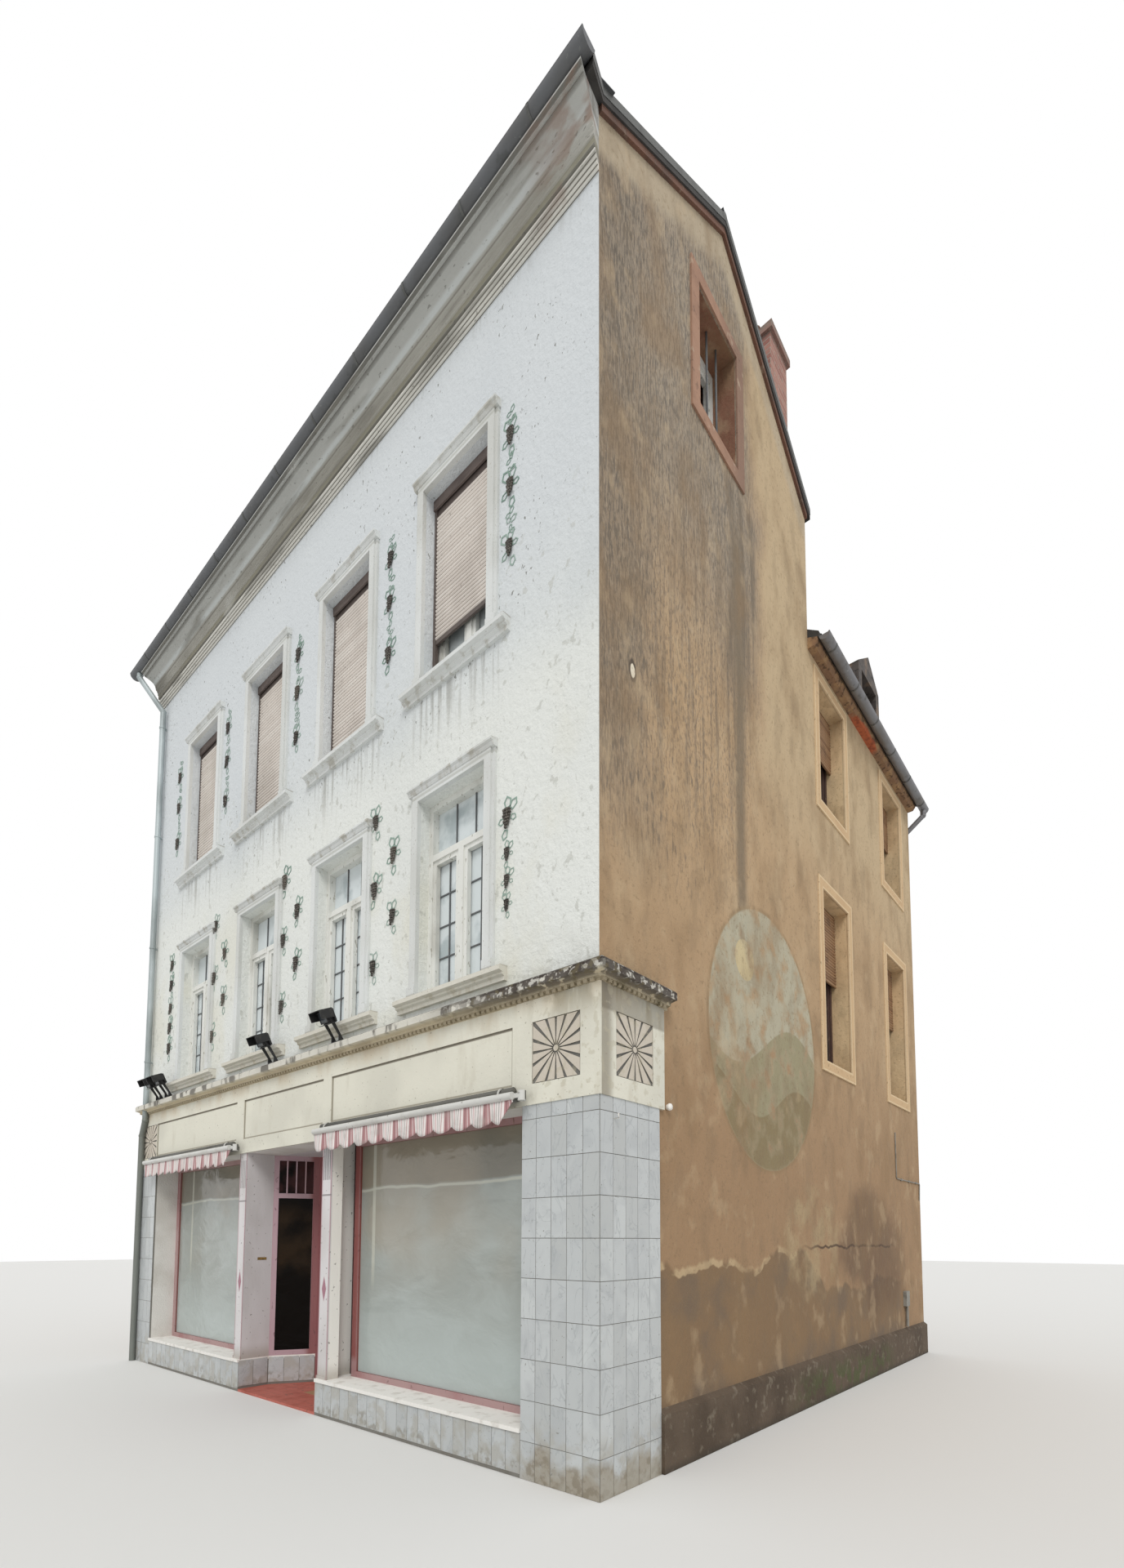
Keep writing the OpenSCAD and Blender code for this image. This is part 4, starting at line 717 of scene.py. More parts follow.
rust = cornice.both(cornice.over(cornice.x, 3.5, 4.4), cornice.patch(0.48, 0.6, 6.0, 5.0, (0.4, 1, 1)))
cornice.layer("#8b6a58", 0.6, rust)
cornice.relief(cornice.noise(40.0, 4.0), 0.004)
cornice.done("main_cornice")


# The chimney: red brick in stretcher bond with a projecting cap, and a small clay cowl bedded on it. The little
# dormer on the wing is hung with dark slates and half broken.
BRICK = (0.22, 0.068)


def bond(coat, width, height, mortar, first, second, joint):
    """Bricks or hung slates on upright faces, which share their courses round the corners."""
    along = coat.plus(coat.x, coat.y)
    place = add(coat.tree, "ShaderNodeCombineXYZ", along, coat.z).outputs[0]
    brick = add(coat.tree, "ShaderNodeTexBrick", offset=0.5, squash=1.0)
    for label, value in (("Vector", place), ("Color1", tone(first)), ("Color2", tone(second)),
                         ("Mortar", tone(joint)),
                         ("Scale", 1.0), ("Mortar Size", mortar), ("Mortar Smooth", 0.3), ("Bias", 0.0),
                         ("Brick Width", width), ("Row Height", height)):
        put(coat.tree, brick.inputs[label], value)
    coat.colour = brick.outputs["Color"]
    return coat.minus(1.0, brick.outputs["Fac"])


chimney = Coat("chimney_brick", "#93684f", rough=0.9)
faces_out = bond(chimney, BRICK[0], BRICK[1], 0.006, "#ad8073", "#93645a", "#ab9f93")
chimney.mottle("#7d6a62", 0.6, 0.48, 0.72, 3.0, 4.0)
chimney.layer("#7b7168", 0.7, chimney.over(chimney.z, 12.4, 12.6))
chimney.relief(faces_out, 0.006).relief(chimney.noise(60.0, 3.0), 0.003)
chimney.done("chimney")
COWL_AT, COWL_R, COWL_H = (CORNER_X - 0.30, 1.42), 0.05, 0.2
cap_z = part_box("chimney")[1].z


def turned(profile, sides=16):
    """A closed form turned about Z from (radius, height) pairs that start and end on the axis."""
    rings = profile[1:-1]
    verts = [(0, 0, profile[0][1])]
    for r, h in rings:
        verts += [(r * math.cos(2 * math.pi * k / sides), r * math.sin(2 * math.pi * k / sides),
                   h) for k in range(sides)]
    verts.append((0, 0, profile[-1][1]))
    top = len(verts) - 1
    faces = []
    for k in range(sides):
        n = (k + 1) % sides
        faces.append((0, 1 + n, 1 + k))
        faces.append((top, top - sides + k, top - sides + n))
        for i in range(len(rings) - 1):
            a, b = 1 + i * sides, 1 + (i + 1) * sides
            faces.append((a + k, a + n, b + n, b + k))
    return verts, faces


clay = Coat("clay_cowl", "#6f5748", rough=0.85)
clay.mottle("#4c4038", 0.8, 0.45, 0.7, 20.0, 3.0)
clay_mat = clay.done()
cowl = turned([(0, 0), (COWL_R, 0), (COWL_R * 0.85, 0.02), (COWL_R * 0.8, COWL_H * 0.6),
               (COWL_R * 1.05, COWL_H * 0.65),
               (COWL_R * 1.05, COWL_H * 0.75), (COWL_R * 0.5, COWL_H * 0.95), (0, COWL_H)])
piece("chimney_cowl", moved(cowl, Matrix.Translation((COWL_AT[0], COWL_AT[1], cap_z))), clay_mat,
      smooth=True)
dormer = Coat("dormer_slate", "#4a423e", rough=0.7)
hung = bond(dormer, 0.2, 0.12, 0.004, "#544c47", "#3d3734", "#1f1b19")
dormer.mottle("#7a6552", 0.7, 0.5, 0.62, 4.0, 5.0)
dormer.mottle("#1d1917", 0.9, 0.6, 0.66, 7.0, 5.0, shift=(3, 3, 3))
dormer.relief(hung, 0.008).relief(dormer.noise(20.0, 3.0), 0.006)
dormer.done("dormer")


# The wing's eave: a rough stone course under the gutter, with a patch where the face is gone and bricks show.
eave = Coat("wing_eave_stone", "#86684f", rough=0.95)
eave.mottle("#a5845f", 0.8, 0.42, 0.66, 7.0, 6.0)
eave.mottle("#4b392b", 0.8, 0.52, 0.66, 18.0, 5.0)
eave_t = eave.minus(eave.y, FRONT_Y)
gone = eave.disc(eave_t, eave.z, (6.05, 8.88), (0.66, 0.09), eave.noise(5.0, 3.0), 0.2)
eave.layer("#b05a36", 0.9, gone)
eave.layer("#7d3f2a", 0.7, gone, eave.patch(0.5, 0.62, 14.0, 4.0, shift=(3, 3, 3)))
eave.relief(eave.noise(9.0, 5.0), 0.02).relief(eave.noise(60.0, 2.0), 0.003)
eave.done("wing_eave")


# The front window surrounds and sills: run in stucco and painted white. Dust darkens the tops of the caps, and the
# undersides of the sills are darker in patches.
moulding = Coat("white_moulding", "#d9dcdb", rough=0.75)
moulding.mottle("#c3c4bf", 0.8, 0.42, 0.7, 1.6, 4.0, (1, 1, 0.5))
sill_and_cap_blotches = moulding.patch(0.5, 0.68, 11.0, 4.0, (1, 1, 0.6))
FIRST_H, SECOND_H = 1.84, 1.94
for sill, height in ((FIRST_SILL, FIRST_H), (SECOND_SILL, SECOND_H)):
    # The undersides of the sills are darker in patches.
    under = moulding.band(moulding.z, sill - 0.14, sill - 0.12, sill - 0.07, sill - 0.04)
    moulding.layer("#948c78", 0.8 if sill == FIRST_SILL else 0.5, under, sill_and_cap_blotches)
    cap = moulding.band(moulding.z, sill + height + 0.05, sill + height + 0.08, sill + height + 0.2,
                        sill + height + 0.22)
    moulding.layer("#a8a396", 0.5 if sill == SECOND_SILL else 0.7, cap, sill_and_cap_blotches)
    shade_line = moulding.band(moulding.z, sill + height + 0.02, sill + height + 0.03, sill + height + 0.045,
                               sill + height + 0.055)
    moulding.layer("#a5a69d", 0.5, shade_line)
    moulding.layer("#8e897c", 0.6, moulding.band(moulding.z, sill - 0.02, sill - 0.008, sill + 0.01,
                                                 sill + 0.03))
moulding.layer("#d0c9b6", 0.6, moulding.over(moulding.z, 3.99, 3.96))
moulding.mottle("#a19d92", 0.5, 0.64, 0.7, 45.0, 3.0)
moulding.relief(moulding.noise(60.0, 3.0), 0.002)
moulding.done("window_surrounds")


# The front windows: painted deal casements under a transom light, with dark iron glazing bars at the panes and white
# lace panels hung inside the first floor.
HALF_W = 0.45
GLASS_FACE = FRONT_Y + 0.17
white_joinery = Coat("white_joinery", "#dfe0db", rough=0.55)
white_joinery.mottle("#b9b8b0", 0.8, 0.45, 0.7, 3.0, 4.0, (1, 1, 0.4))
flakes = white_joinery.patch(0.63, 0.68, 34.0, 3.0, (1, 1, 0.4))
white_joinery.layer("#86816f", 0.6, flakes)
white_joinery.relief(white_joinery.noise(70.0, 3.0, (1, 1, 0.2)), 0.001)
white_joinery.done("front_windows", "attic_window")
iron = Coat("iron_bars", "#5b5e60", rough=0.6)
iron.mottle("#6d6259", 0.6, 0.55, 0.7, 30.0, 3.0)
iron_mat = iron.done()
bars = []
for x in WINDOW_X:
    y = GLASS_FACE - 0.012
    for side in (-1, 1):
        middle = x + side * 0.215
        bars.append(slab((middle - 0.006, y, FIRST_SILL + 0.08),
                         (middle + 0.006, y + 0.03, FIRST_SILL + 1.27)))
        for share in (0.25, 0.5, 0.75):
            z = FIRST_SILL + 0.08 + 1.19 * share
            bars.append(slab((middle - 0.145, y + 0.002, z - 0.006), (middle + 0.145, y + 0.028, z + 0.006)))
    for step in (-0.13, 0.13):
        bars.append(slab((x + step - 0.006, y, FIRST_SILL + 1.35),
                         (x + step + 0.006, y + 0.03, FIRST_SILL + 1.80)))
piece("window_bars", join(bars), iron_mat)

glass = Coat("old_window_glass", "#e6eef0", rough=0.08)
glass.set("Alpha", 0.8)
glass.set("IOR", 1.45)
glass.mottle("#aab8bc", 0.7, 0.52, 0.66, 2.6, 4.0)
glass.relief(glass.noise(3.0, 1.0), 0.004)
glass.done("window_glass")


def hung_cloth(width, height, folds, depth, columns, rows, thick):
    """A sheet that hangs from a rail in soft folds, deeper towards its free hem."""
    def point(u, v, side):
        swell = depth * (0.35 + 0.65 * (1 - v))
        y = math.sin(u * folds * 2 * math.pi + 1.3 * math.sin(u * 7.0)) * swell
        return (u * width, y + side * thick / 2, v * height)

    verts, faces = [], []
    for side in (-1, 1):
        verts += [point(i / columns, j / rows, side) for j in range(rows + 1) for i in range(columns + 1)]
    half = (columns + 1) * (rows + 1)
    for j in range(rows):
        for i in range(columns):
            a = j * (columns + 1) + i
            faces.append((a, a + 1, a + columns + 2, a + columns + 1))
            faces.append((half + a, half + a + columns + 1, half + a + columns + 2, half + a + 1))
    for i in range(columns):
        faces.append((i, i + half, i + half + 1, i + 1))
        top = rows * (columns + 1) + i
        faces.append((top, top + 1, top + half + 1, top + half))
    for j in range(rows):
        a, b = j * (columns + 1), j * (columns + 1) + columns
        faces.append((a, a + columns + 1, a + columns + 1 + half, a + half))
        faces.append((b, b + half, b + columns + 1 + half, b + columns + 1))
    return verts, faces


lace = Coat("white_lace", "#e2e1db", rough=0.9)
lace.set("Sheen Weight", 0.2)
flowers = add(lace.tree, "ShaderNodeTexVoronoi", feature="F1")
put(lace.tree, flowers.inputs["Vector"], lace.place)
put(lace.tree, flowers.inputs["Scale"], 14.0)
motif = lace.over(flowers.outputs["Distance"], 0.34, 0.22)
mesh_weave = lace.patch(0.45, 0.6, 160.0, 1.0)
lace.layer("#f0efea", 0.9, motif)
lace.layer("#b5b6b3", 0.7, lace.minus(1.0, motif), mesh_weave)
put(lace.tree, lace.shader.inputs["Alpha"], lace.over(lace.either(motif, mesh_weave), -0.9, 0.7))
lace_mat = lace.done()
LACE_W, LACE_H = 0.76, 1.2
for i, x in enumerate(WINDOW_X):
    cloth = hung_cloth(LACE_W, LACE_H, 9, 0.012, 90, 8, 0.0012)
    place = Matrix.Translation((x - LACE_W / 2, GLASS_FACE + 0.07, FIRST_SILL + 0.09))
    lace_piece = piece(f"lace_panel_{i}", moved(cloth, place), lace_mat)


# The roller shutters of the second floor: ribbed slats in side guides under a brown lintel board. The one nearest
# the corner is drawn up off its sill.
SLAT = 0.0395
slat_coat = Coat("beige_slats", "#ddd5cd", rough=0.6)
shaded(slat_coat, "#cec5bd", "#e6e0d9", 0.5)
slat_coat.mottle("#c0b7ae", 0.6, 0.45, 0.7, 2.0, 4.0, (1, 1, 0.5))
slat_coat.mottle("#8d857c", 0.5, 0.66, 0.72, 30.0, 3.0)
slat_mat = slat_coat.done()
shutter = Coat("shutter_metal", "#5a504b", rough=0.6)
shutter.mottle("#473e3a", 0.7, 0.5, 0.7, 8.0, 3.0)
shutter.done("roller_shutters")


def slat(width, pitch, belly, rows=5):
    """One hooked slat: a shallow arc that bellies towards -Y, thin where it meets the next."""
    outline = [(0.0, 0.0)]
    for k in range(rows + 1):
        share = k / rows
        outline.append((-belly * math.sin(math.pi * (0.12 + 0.8 * share)), share * pitch * 0.84))
    outline.append((0.0, pitch * 0.84))
    count = len(outline)
    verts = [(x, y, z) for x in (-width / 2, width / 2) for y, z in outline]
    faces = [tuple(range(count)), tuple(range(2 * count - 1, count - 1, -1))]
    faces += [(k, k + count, (k + 1) % count + count, (k + 1) % count) for k in range(count)]
    return verts, faces


curtains = []
for i, x in enumerate(WINDOW_X):
    low = SECOND_SILL + (0.47 if i == 0 else 0.004) + 0.045
    rows = int((SECOND_SILL + SECOND_H - 0.13 - low) / SLAT)
    curtains.append(courses(slat(0.832, SLAT, 0.012), slat_mat, 1, rows, (0, 0, SLAT),
                            (x, FRONT_Y + 0.1125, low), seed=20 + i))
piece("shutter_slats", merge("shutter_slats", curtains), slat_mat)
lintel_board = Coat("shutter_lintel", "#6c605b", rough=0.7)
lintel_board.mottle("#584d49", 0.8, 0.45, 0.7, 4.0, 4.0, (1, 1, 6))
lintel_mat = lintel_board.done()
heads = []
for x in WINDOW_X:
    z = SECOND_SILL + SECOND_H
    heads.append(slab((x - HALF_W + 0.002, FRONT_Y + 0.082, z - 0.1),
                      (x + HALF_W - 0.002, FRONT_Y + 0.0995, z - 0.002)))
piece("shutter_lintels", join(heads), lintel_mat)


# The wing's windows: painted bands in cream-brown with paler edges, dark brown casements, and brown roller shutters
# drawn half down in deep reveals. The court and rear windows repeat them.
WING_Y = (2.79, 5.32)
WING_SILLS = ((3.92, 2.13), (7.18, 1.55))
band = Coat("wing_bands", "#c9ab84", rough=0.85)
off_y = band.minus(band.sum("MINIMUM", *[band.sum("ABSOLUTE", band.minus(band.y, y)) for y in WING_Y]), 0.44)
off_z = None
for sill, height in WING_SILLS:
    away = band.minus(band.sum("ABSOLUTE", band.minus(band.z, sill + height / 2)), height / 2)
    off_z = away if off_z is None else band.sum("MINIMUM", off_z, away)
off = band.sum("MAXIMUM", off_y, off_z)
band.mottle("#bf9f79", 0.7, 0.45, 0.7, 3.0, 4.0)
edges = band.either(band.over(off, 0.024, 0.018), band.over(off, 0.104, 0.11))
band.layer("#dcc6a2", 0.7, edges)
band.mottle("#7a664c", 0.5, 0.62, 0.7, 26.0, 4.0)
band.relief(band.noise(40.0, 3.0), 0.003)
band.done("wing_surrounds")
brown = Coat("brown_joinery", "#45302a", rough=0.6)
brown.mottle("#2f211d", 0.8, 0.45, 0.7, 4.0, 4.0, (1, 1, 0.3))
brown.mottle("#7f6a56", 0.6, 0.62, 0.68, 30.0, 3.0, (1, 1, 0.3))
brown.done("rear_windows")
wing_slats = Coat("brown_slats", "#99795a", rough=0.65)
shaded(wing_slats, "#6b4a33", "#8f6a4b", 0.6)
wing_slats.mottle("#5d4433", 0.6, 0.5, 0.7, 6.0, 4.0)
wing_slat_mat = wing_slats.done("wing_shutters")
rolled = []
for n, y in enumerate(WING_Y):
    for m, (sill, height) in enumerate(WING_SILLS):
        low = sill + 0.55 * height
        rows = int(0.45 * height / SLAT)
        rolled.append(courses(slat(0.87, SLAT, 0.01), wing_slat_mat, 1, rows, (0, 0, SLAT),
                              (CORNER_X - 0.1725, y, low), (0, 0, math.pi / 2), seed=30 + 2 * n + m))
piece("wing_slats", merge("wing_slats", rolled), wing_slat_mat)


# The attic window: a red sandstone band let into the gable, with three iron bars before the casements.
ATTIC_Y, ATTIC_Z, ATTIC_H = -0.15, 9.62, 1.26
sandstone = Coat("red_sandstone", "#a5816b", rough=0.9)
sandstone.mottle("#8b6a57", 0.7, 0.42, 0.7, 4.0, 4.0)
sandstone.layer("#7d6455", 0.7, sandstone.over(sandstone.y, -0.1, 0.3))
sandstone.mottle("#6b5345", 0.6, 0.6, 0.7, 20.0, 3.0)
sandstone.mottle("#b9a48f", 0.6, 0.62, 0.7, 7.0, 3.0, shift=(2, 2, 2))
sandstone.relief(sandstone.noise(30.0, 3.0), 0.004)
sandstone.done("attic_surround")
attic_bars = [tube([(CORNER_X - 0.12, ATTIC_Y + step, ATTIC_Z - 0.02),
                    (CORNER_X - 0.12, ATTIC_Y + step, ATTIC_Z + ATTIC_H + 0.02)],
                   0.011, 8) for step in (-0.19, 0.0, 0.19)]
piece("attic_bars", join(attic_bars), iron_mat, smooth=True)


# The shop fascia: boards in sunk panels and blocks with sunburst squares over the piers, all in cream paint. Dust
# greys it, soot and painted shade line the sunk edges, and painted shade fills the deep rays.
SHOP_HEAD, FASCIA_TOP, FACING = 2.805, 3.62, FRONT_Y - 0.02
BLOCK_FACE, BLOCK_SIDE = FACING - 0.012, CORNER_X + 0.032
ROSETTE_Z, ROSETTE_R = 3.2045, 0.24
cream = Coat("cream_fascia", "#dfddcf", rough=0.8)
cream.mottle("#d2d0c3", 0.9, 0.42, 0.7, 1.3, 4.0)
cream.mottle("#c2bcab", 0.5, 0.55, 0.75, 5.0, 5.0, (1, 1, 0.35))
cream.layer("#bfa988", 0.5, cream.over(cream.z, 3.42, 3.6), cream.patch(0.4, 0.7, 3.0, 4.0, (1, 1, 0.4)))
cream.mottle("#8b8473", 0.6, 0.67, 0.72, 34.0, 3.0)
panels = [(-3.819, -1.27), (-1.085, 0.705), (0.86, 3.495)]
in_panel = cream.away(cream.x, cream.z, [(a, b, 2.975, 3.45) for a, b in panels])
# Soot and painted shade along the sunk edges of the panels, with a painted shadow under their tops.
sunk_edge_soot_and_shade = cream.both(cream.over(in_panel, -0.024, -0.014),
                        cream.over(cream.y, FACING + 0.004, FACING + 0.01))
cream.layer("#8a8272", 0.75, sunk_edge_soot_and_shade, cream.over(cream.y, -1.9, -2.0))
top_shade = cream.both(cream.over(cream.z, 3.415, 3.445), sunk_edge_soot_and_shade)
cream.layer("#6c6457", 0.6, top_shade)
deep_front = cream.minus(cream.y, BLOCK_FACE)
deep_side = cream.minus(BLOCK_SIDE, cream.x)
deep_left = cream.minus(cream.y, FACING)
right_square = cream.over(cream.away(cream.x, cream.z,
                                     [(3.72, 4.2, ROSETTE_Z - ROSETTE_R,
                                       ROSETTE_Z + ROSETTE_R)]), 0.001, -0.001)
side_square = cream.over(cream.away(cream.y, cream.z,
                                    [(-1.89, -1.41, ROSETTE_Z - ROSETTE_R,
                                      ROSETTE_Z + ROSETTE_R)]), 0.001, -0.001)
left_square = cream.over(cream.away(cream.x, cream.z,
                                    [(-4.312, -3.832, ROSETTE_Z - ROSETTE_R,
                                      ROSETTE_Z + ROSETTE_R)]), 0.001, -0.001)
petal = cream.either(cream.both(right_square, cream.band(deep_front, 0.001, 0.002, 0.03, 0.04)),
                     cream.both(left_square, cream.band(deep_left, 0.001, 0.002, 0.03, 0.04)),
                     cream.both(side_square, cream.band(deep_side, 0.001, 0.002, 0.03, 0.04)))
cream.layer("#c6bcae", 0.85, petal)
# Painted shade in the deep rays of the sunbursts.
ray_shade = cream.either(cream.both(right_square, cream.band(deep_front, 0.005, 0.009, 0.03, 0.04)),
                    cream.both(left_square, cream.band(deep_left, 0.005, 0.009, 0.03, 0.04)),
                    cream.both(side_square, cream.band(deep_side, 0.005, 0.009, 0.03, 0.04)))
cream.layer("#6b6b68", 0.92, ray_shade)
corner_drip = cream.both(cream.over(cream.x, 3.5, 4.0), cream.over(cream.z, 3.3, 3.6),
                         cream.patch(0.45, 0.6, 7.0, 5.0, (1, 1, 0.25)))
cream.layer("#857a62", 0.6, corner_drip)
old = cream.both(cream.over(cream.x, 3.6, 3.9), cream.patch(0.55, 0.62, 13.0, 4.0))
cream.layer("#b5ae98", 0.4, old)
cream.relief(cream.noise(30.0, 4.0), 0.003)
cream.done("fascia")


# The shop cornice: a moulded stone drip over a dentil course. Black and white crusts cover its upper edge, thickest
# at the corner.
DENTIL = (0.034, 0.026, 0.026)
DENTIL_STEP = 0.06
crust = Coat("shop_cornice", "#c8bca2", rough=0.9)
crust.mottle("#afa289", 0.8, 0.42, 0.7, 3.0, 4.0)
bed_dark = crust.both(crust.band(crust.z, 3.62, 3.622, 3.648, 3.65), crust.either(
    crust.over(crust.y, FRONT_Y - 0.045, FRONT_Y - 0.035), crust.over(crust.x, CORNER_X + 0.045,
                                                                      CORNER_X + 0.035)))
crust.layer("#8c8069", 0.5, bed_dark, crust.over(crust.x, 4.5, 4.49))
drip_face = crust.over(crust.z, 3.672, 3.688)
crust.layer("#d3d1c8", 0.9, drip_face)
black_streaks = crust.patch(0.5, 0.6, 7.0, 5.0, (1, 1, 0.35))
crust.layer("#5f5b54", 0.85, drip_face, black_streaks)
near = crust.over(crust.x, 2.2, 3.7)
crust.layer("#3f3630", 0.92, near, crust.over(crust.z, 3.63, 3.69), crust.patch(0.4, 0.47, 11.0, 6.0))
top_crust = crust.over(crust.plus(crust.z, crust.times(crust.noise(9.0, 5.0, shift=(2, 2, 2)), 0.06)), 3.755,
                       3.765)
crust.layer("#352c27", 0.92, near, top_crust)
crust.layer("#c9c6be", 0.85, near, drip_face, crust.patch(0.56, 0.6, 19.0, 5.0, shift=(4, 4, 4)))
crust.layer("#6b6147", 0.6, near, crust.patch(0.55, 0.62, 9.0, 4.0, shift=(1, 1, 1)))
crust.layer("#5b584f", 0.8, crust.over(crust.z, 3.75, 3.757))
crust.relief(crust.noise(26.0, 5.0), 0.008)
crust_mat = crust.done("shop_cornice")
dentil = slab((-DENTIL[0] / 2, -0.03 - DENTIL[1], 0.003), (DENTIL[0] / 2, -0.026, 0.003 + DENTIL[2]))
front_dentils = courses(dentil, crust_mat, 141, 1, (DENTIL_STEP, 0, 0), (-4.08, FRONT_Y, FASCIA_TOP),
                        jitter=(0.004, 0, 0.002), seed=41)
side_dentils = courses(dentil, crust_mat, 14, 1, (DENTIL_STEP, 0, 0), (CORNER_X, FRONT_Y, FASCIA_TOP),
                       (0, 0, math.pi / 2),
                       jitter=(0.004, 0, 0.002), seed=42)
piece("shop_dentils", merge("shop_dentils", [front_dentils, side_dentils]), crust_mat)


# The wall tiles of the piers and risers: marbled glazed tiles set upright on a grey bed, with thin sills over them.
# Mud has splashed the lowest row.
TILE_W, TILE_H, JOINT, TILE_OUT = 0.152, 0.302, 0.005, 0.003
PIER = (3.61, 4.37)
marble = Coat("marbled_tiles", "#bcc0c1", rough=0.28)
shaded(marble, "#b2b5b4", "#c6caca", 0.7)
marble_shade = add(marble.tree, "ShaderNodeAttribute", attribute_name="shade").outputs["Fac"]
marble.place = add(marble.tree, "ShaderNodeVectorMath", marble.place,
                   add(marble.tree, "ShaderNodeCombineXYZ", marble.times(marble_shade, 9.0),
                       marble.times(marble_shade, 5.0), 0.0).outputs[0], operation="ADD").outputs[0]
marble.mottle("#acb0b2", 0.6, 0.45, 0.7, 3.0, 4.0, bend=1.4)
vein = marble.sum("ABSOLUTE", marble.minus(marble.noise(4.0, 4.0, (1, 1, 0.5), bend=1.8), 0.5))
marble.layer("#9da2a4", 0.5, marble.over(vein, 0.018, 0.0))
at_corner = marble.over(marble.x, 3.3, 3.9)
reach = marble.plus(marble.times(at_corner, 0.10), -0.2)
rise = marble.minus(marble.z, marble.times(marble.noise(3.4, 5.0), 0.6))
low = marble.over(marble.minus(rise, reach), 0.06, -0.08)
marble.layer("#8f8168", 0.7, low, at_corner)
marble.layer("#7a705e", 0.6, low, marble.patch(0.45, 0.6, 16.0, 4.0))
marble.layer("#a5a196", 0.55, marble.over(marble.z, 0.5, 0.3), marble.patch(0.45, 0.6, 5.0, 4.0))
marble.mottle("#77756e", 0.7, 0.7, 0.74, 42.0, 2.0)
marble_mat = marble.done()
grout = Coat("tile_grout", "#7b7973", rough=0.9)
grout.mottle("#6f6b62", 0.8, 0.45, 0.7, 5.0, 4.0)
grout.layer("#eae8e3", 1.0, grout.over(grout.z, 0.3305, 0.331))
grout.layer("#c4bfb6", 0.6, grout.over(grout.z, 0.3305, 0.331), grout.patch(0.5, 0.68, 9.0, 4.0))
grout.done("stall_risers")
bed = Coat("tile_bed", "#7b7973", rough=0.9)
bed.mottle("#6f6b62", 0.8, 0.45, 0.7, 5.0, 4.0)
bed.layer("#4c443b", 0.8, bed.over(bed.y, -1.325, -1.315), bed.patch(0.4, 0.5, 20.0, 3.0))
bed.done("pier_tiles")


def tile_rows(columns, width, place, turn, rows, seed, top=None, low=0.0):
    """Whole tiles in upright rows over a cut row, and another cut row under the given top."""
    pitch = (width, 0, TILE_H)
    angle = (0, 0, turn)
    whole = slab((JOINT / 2, -TILE_OUT, JOINT / 2), (width - JOINT / 2, 0.001, TILE_H - JOINT / 2))
    made = []
    start = low if low else 0.278
    if not low:
        cut = slab((JOINT / 2, -TILE_OUT, 0.0), (width - JOINT / 2, 0.001, 0.278 - JOINT / 2))
        made.append(courses(cut, marble_mat, columns, 1, pitch, place, angle, jitter=(0, 0.0005, 0),
                            seed=seed))
    made.append(courses(whole, marble_mat, columns, rows, pitch, (place[0], place[1], start), angle,
                        jitter=(0, 0.0005, 0), lean=(0.004, 0, 0.003), seed=seed + 1))
    if top:
        rest = slab((JOINT / 2, -TILE_OUT, JOINT / 2),
                    (width - JOINT / 2, 0.001, top - start - rows * TILE_H))
        made.append(courses(rest, marble_mat, columns, 1, pitch, (place[0], place[1], start + rows * TILE_H),
                            angle,
                            jitter=(0, 0.0005, 0), seed=seed + 2))
    return made


quarter = math.pi / 2
pier_shapes = tile_rows(5, TILE_W, (PIER[0], FACING, 0), 0, 8, 50, SHOP_HEAD)
pier_shapes += tile_rows(5, TILE_W, (PIER[1], FACING, 0), quarter, 8, 53, SHOP_HEAD)
pier_shapes += tile_rows(4, 0.139, (-4.35, FACING, 0), 0, 8, 56, SHOP_HEAD)
piece("pier_wall_tiles", merge("pier_wall_tiles", pier_shapes), marble_mat)
riser_shapes = tile_rows(18, 2.789 / 18, (-3.794, FACING, 0), 0, 1, 60, low=0.026)
riser_shapes += tile_rows(19, 2.915 / 19, (0.695, FACING, 0), 0, 1, 63, low=0.026)
riser_shapes += tile_rows(2, 0.175, (-1.005, FACING, 0), quarter, 1, 66, low=0.05)
riser_shapes += tile_rows(2, 0.175, (0.695, -1.715, 0), -quarter, 1, 69, low=0.05)
splay_turn = math.atan2(0.45, 0.28)
riser_shapes += tile_rows(3, 0.175, (-1.005, -1.71, 0), splay_turn, 1, 72, low=0.05)
riser_shapes += tile_rows(3, 0.175, (0.415, -1.26, 0), -splay_turn, 1, 75, low=0.05)
piece("riser_wall_tiles", merge("riser_wall_tiles", riser_shapes), marble_mat)


# The plinth of the alley side: coarse cement with a weathered top edge and moss where the ground stays damp.
plinth = Coat("cement_plinth", "#5d4f41", rough=0.95)
plinth.mottle("#493c2f", 0.85, 0.42, 0.68, 2.0, 5.0)
plinth.mottle("#7d7364", 0.7, 0.56, 0.7, 11.0, 4.0)
plinth_t = plinth.minus(plinth.y, FRONT_Y)
moss = plinth.both(plinth.band(plinth_t, 2.8, 4.0, 6.0, 6.8), plinth.over(plinth.z, 0.46, 0.2),
                   plinth.patch(0.42, 0.56, 5.0, 5.0))
plinth.layer("#4c5230", 0.8, moss)
plinth.layer("#3c352c", 0.7, plinth.over(plinth.z, 0.08, 0.0))
plinth.relief(plinth.noise(16.0, 5.0), 0.012).relief(plinth.noise(70.0, 2.0), 0.003)
plinth.done("side_plinth")


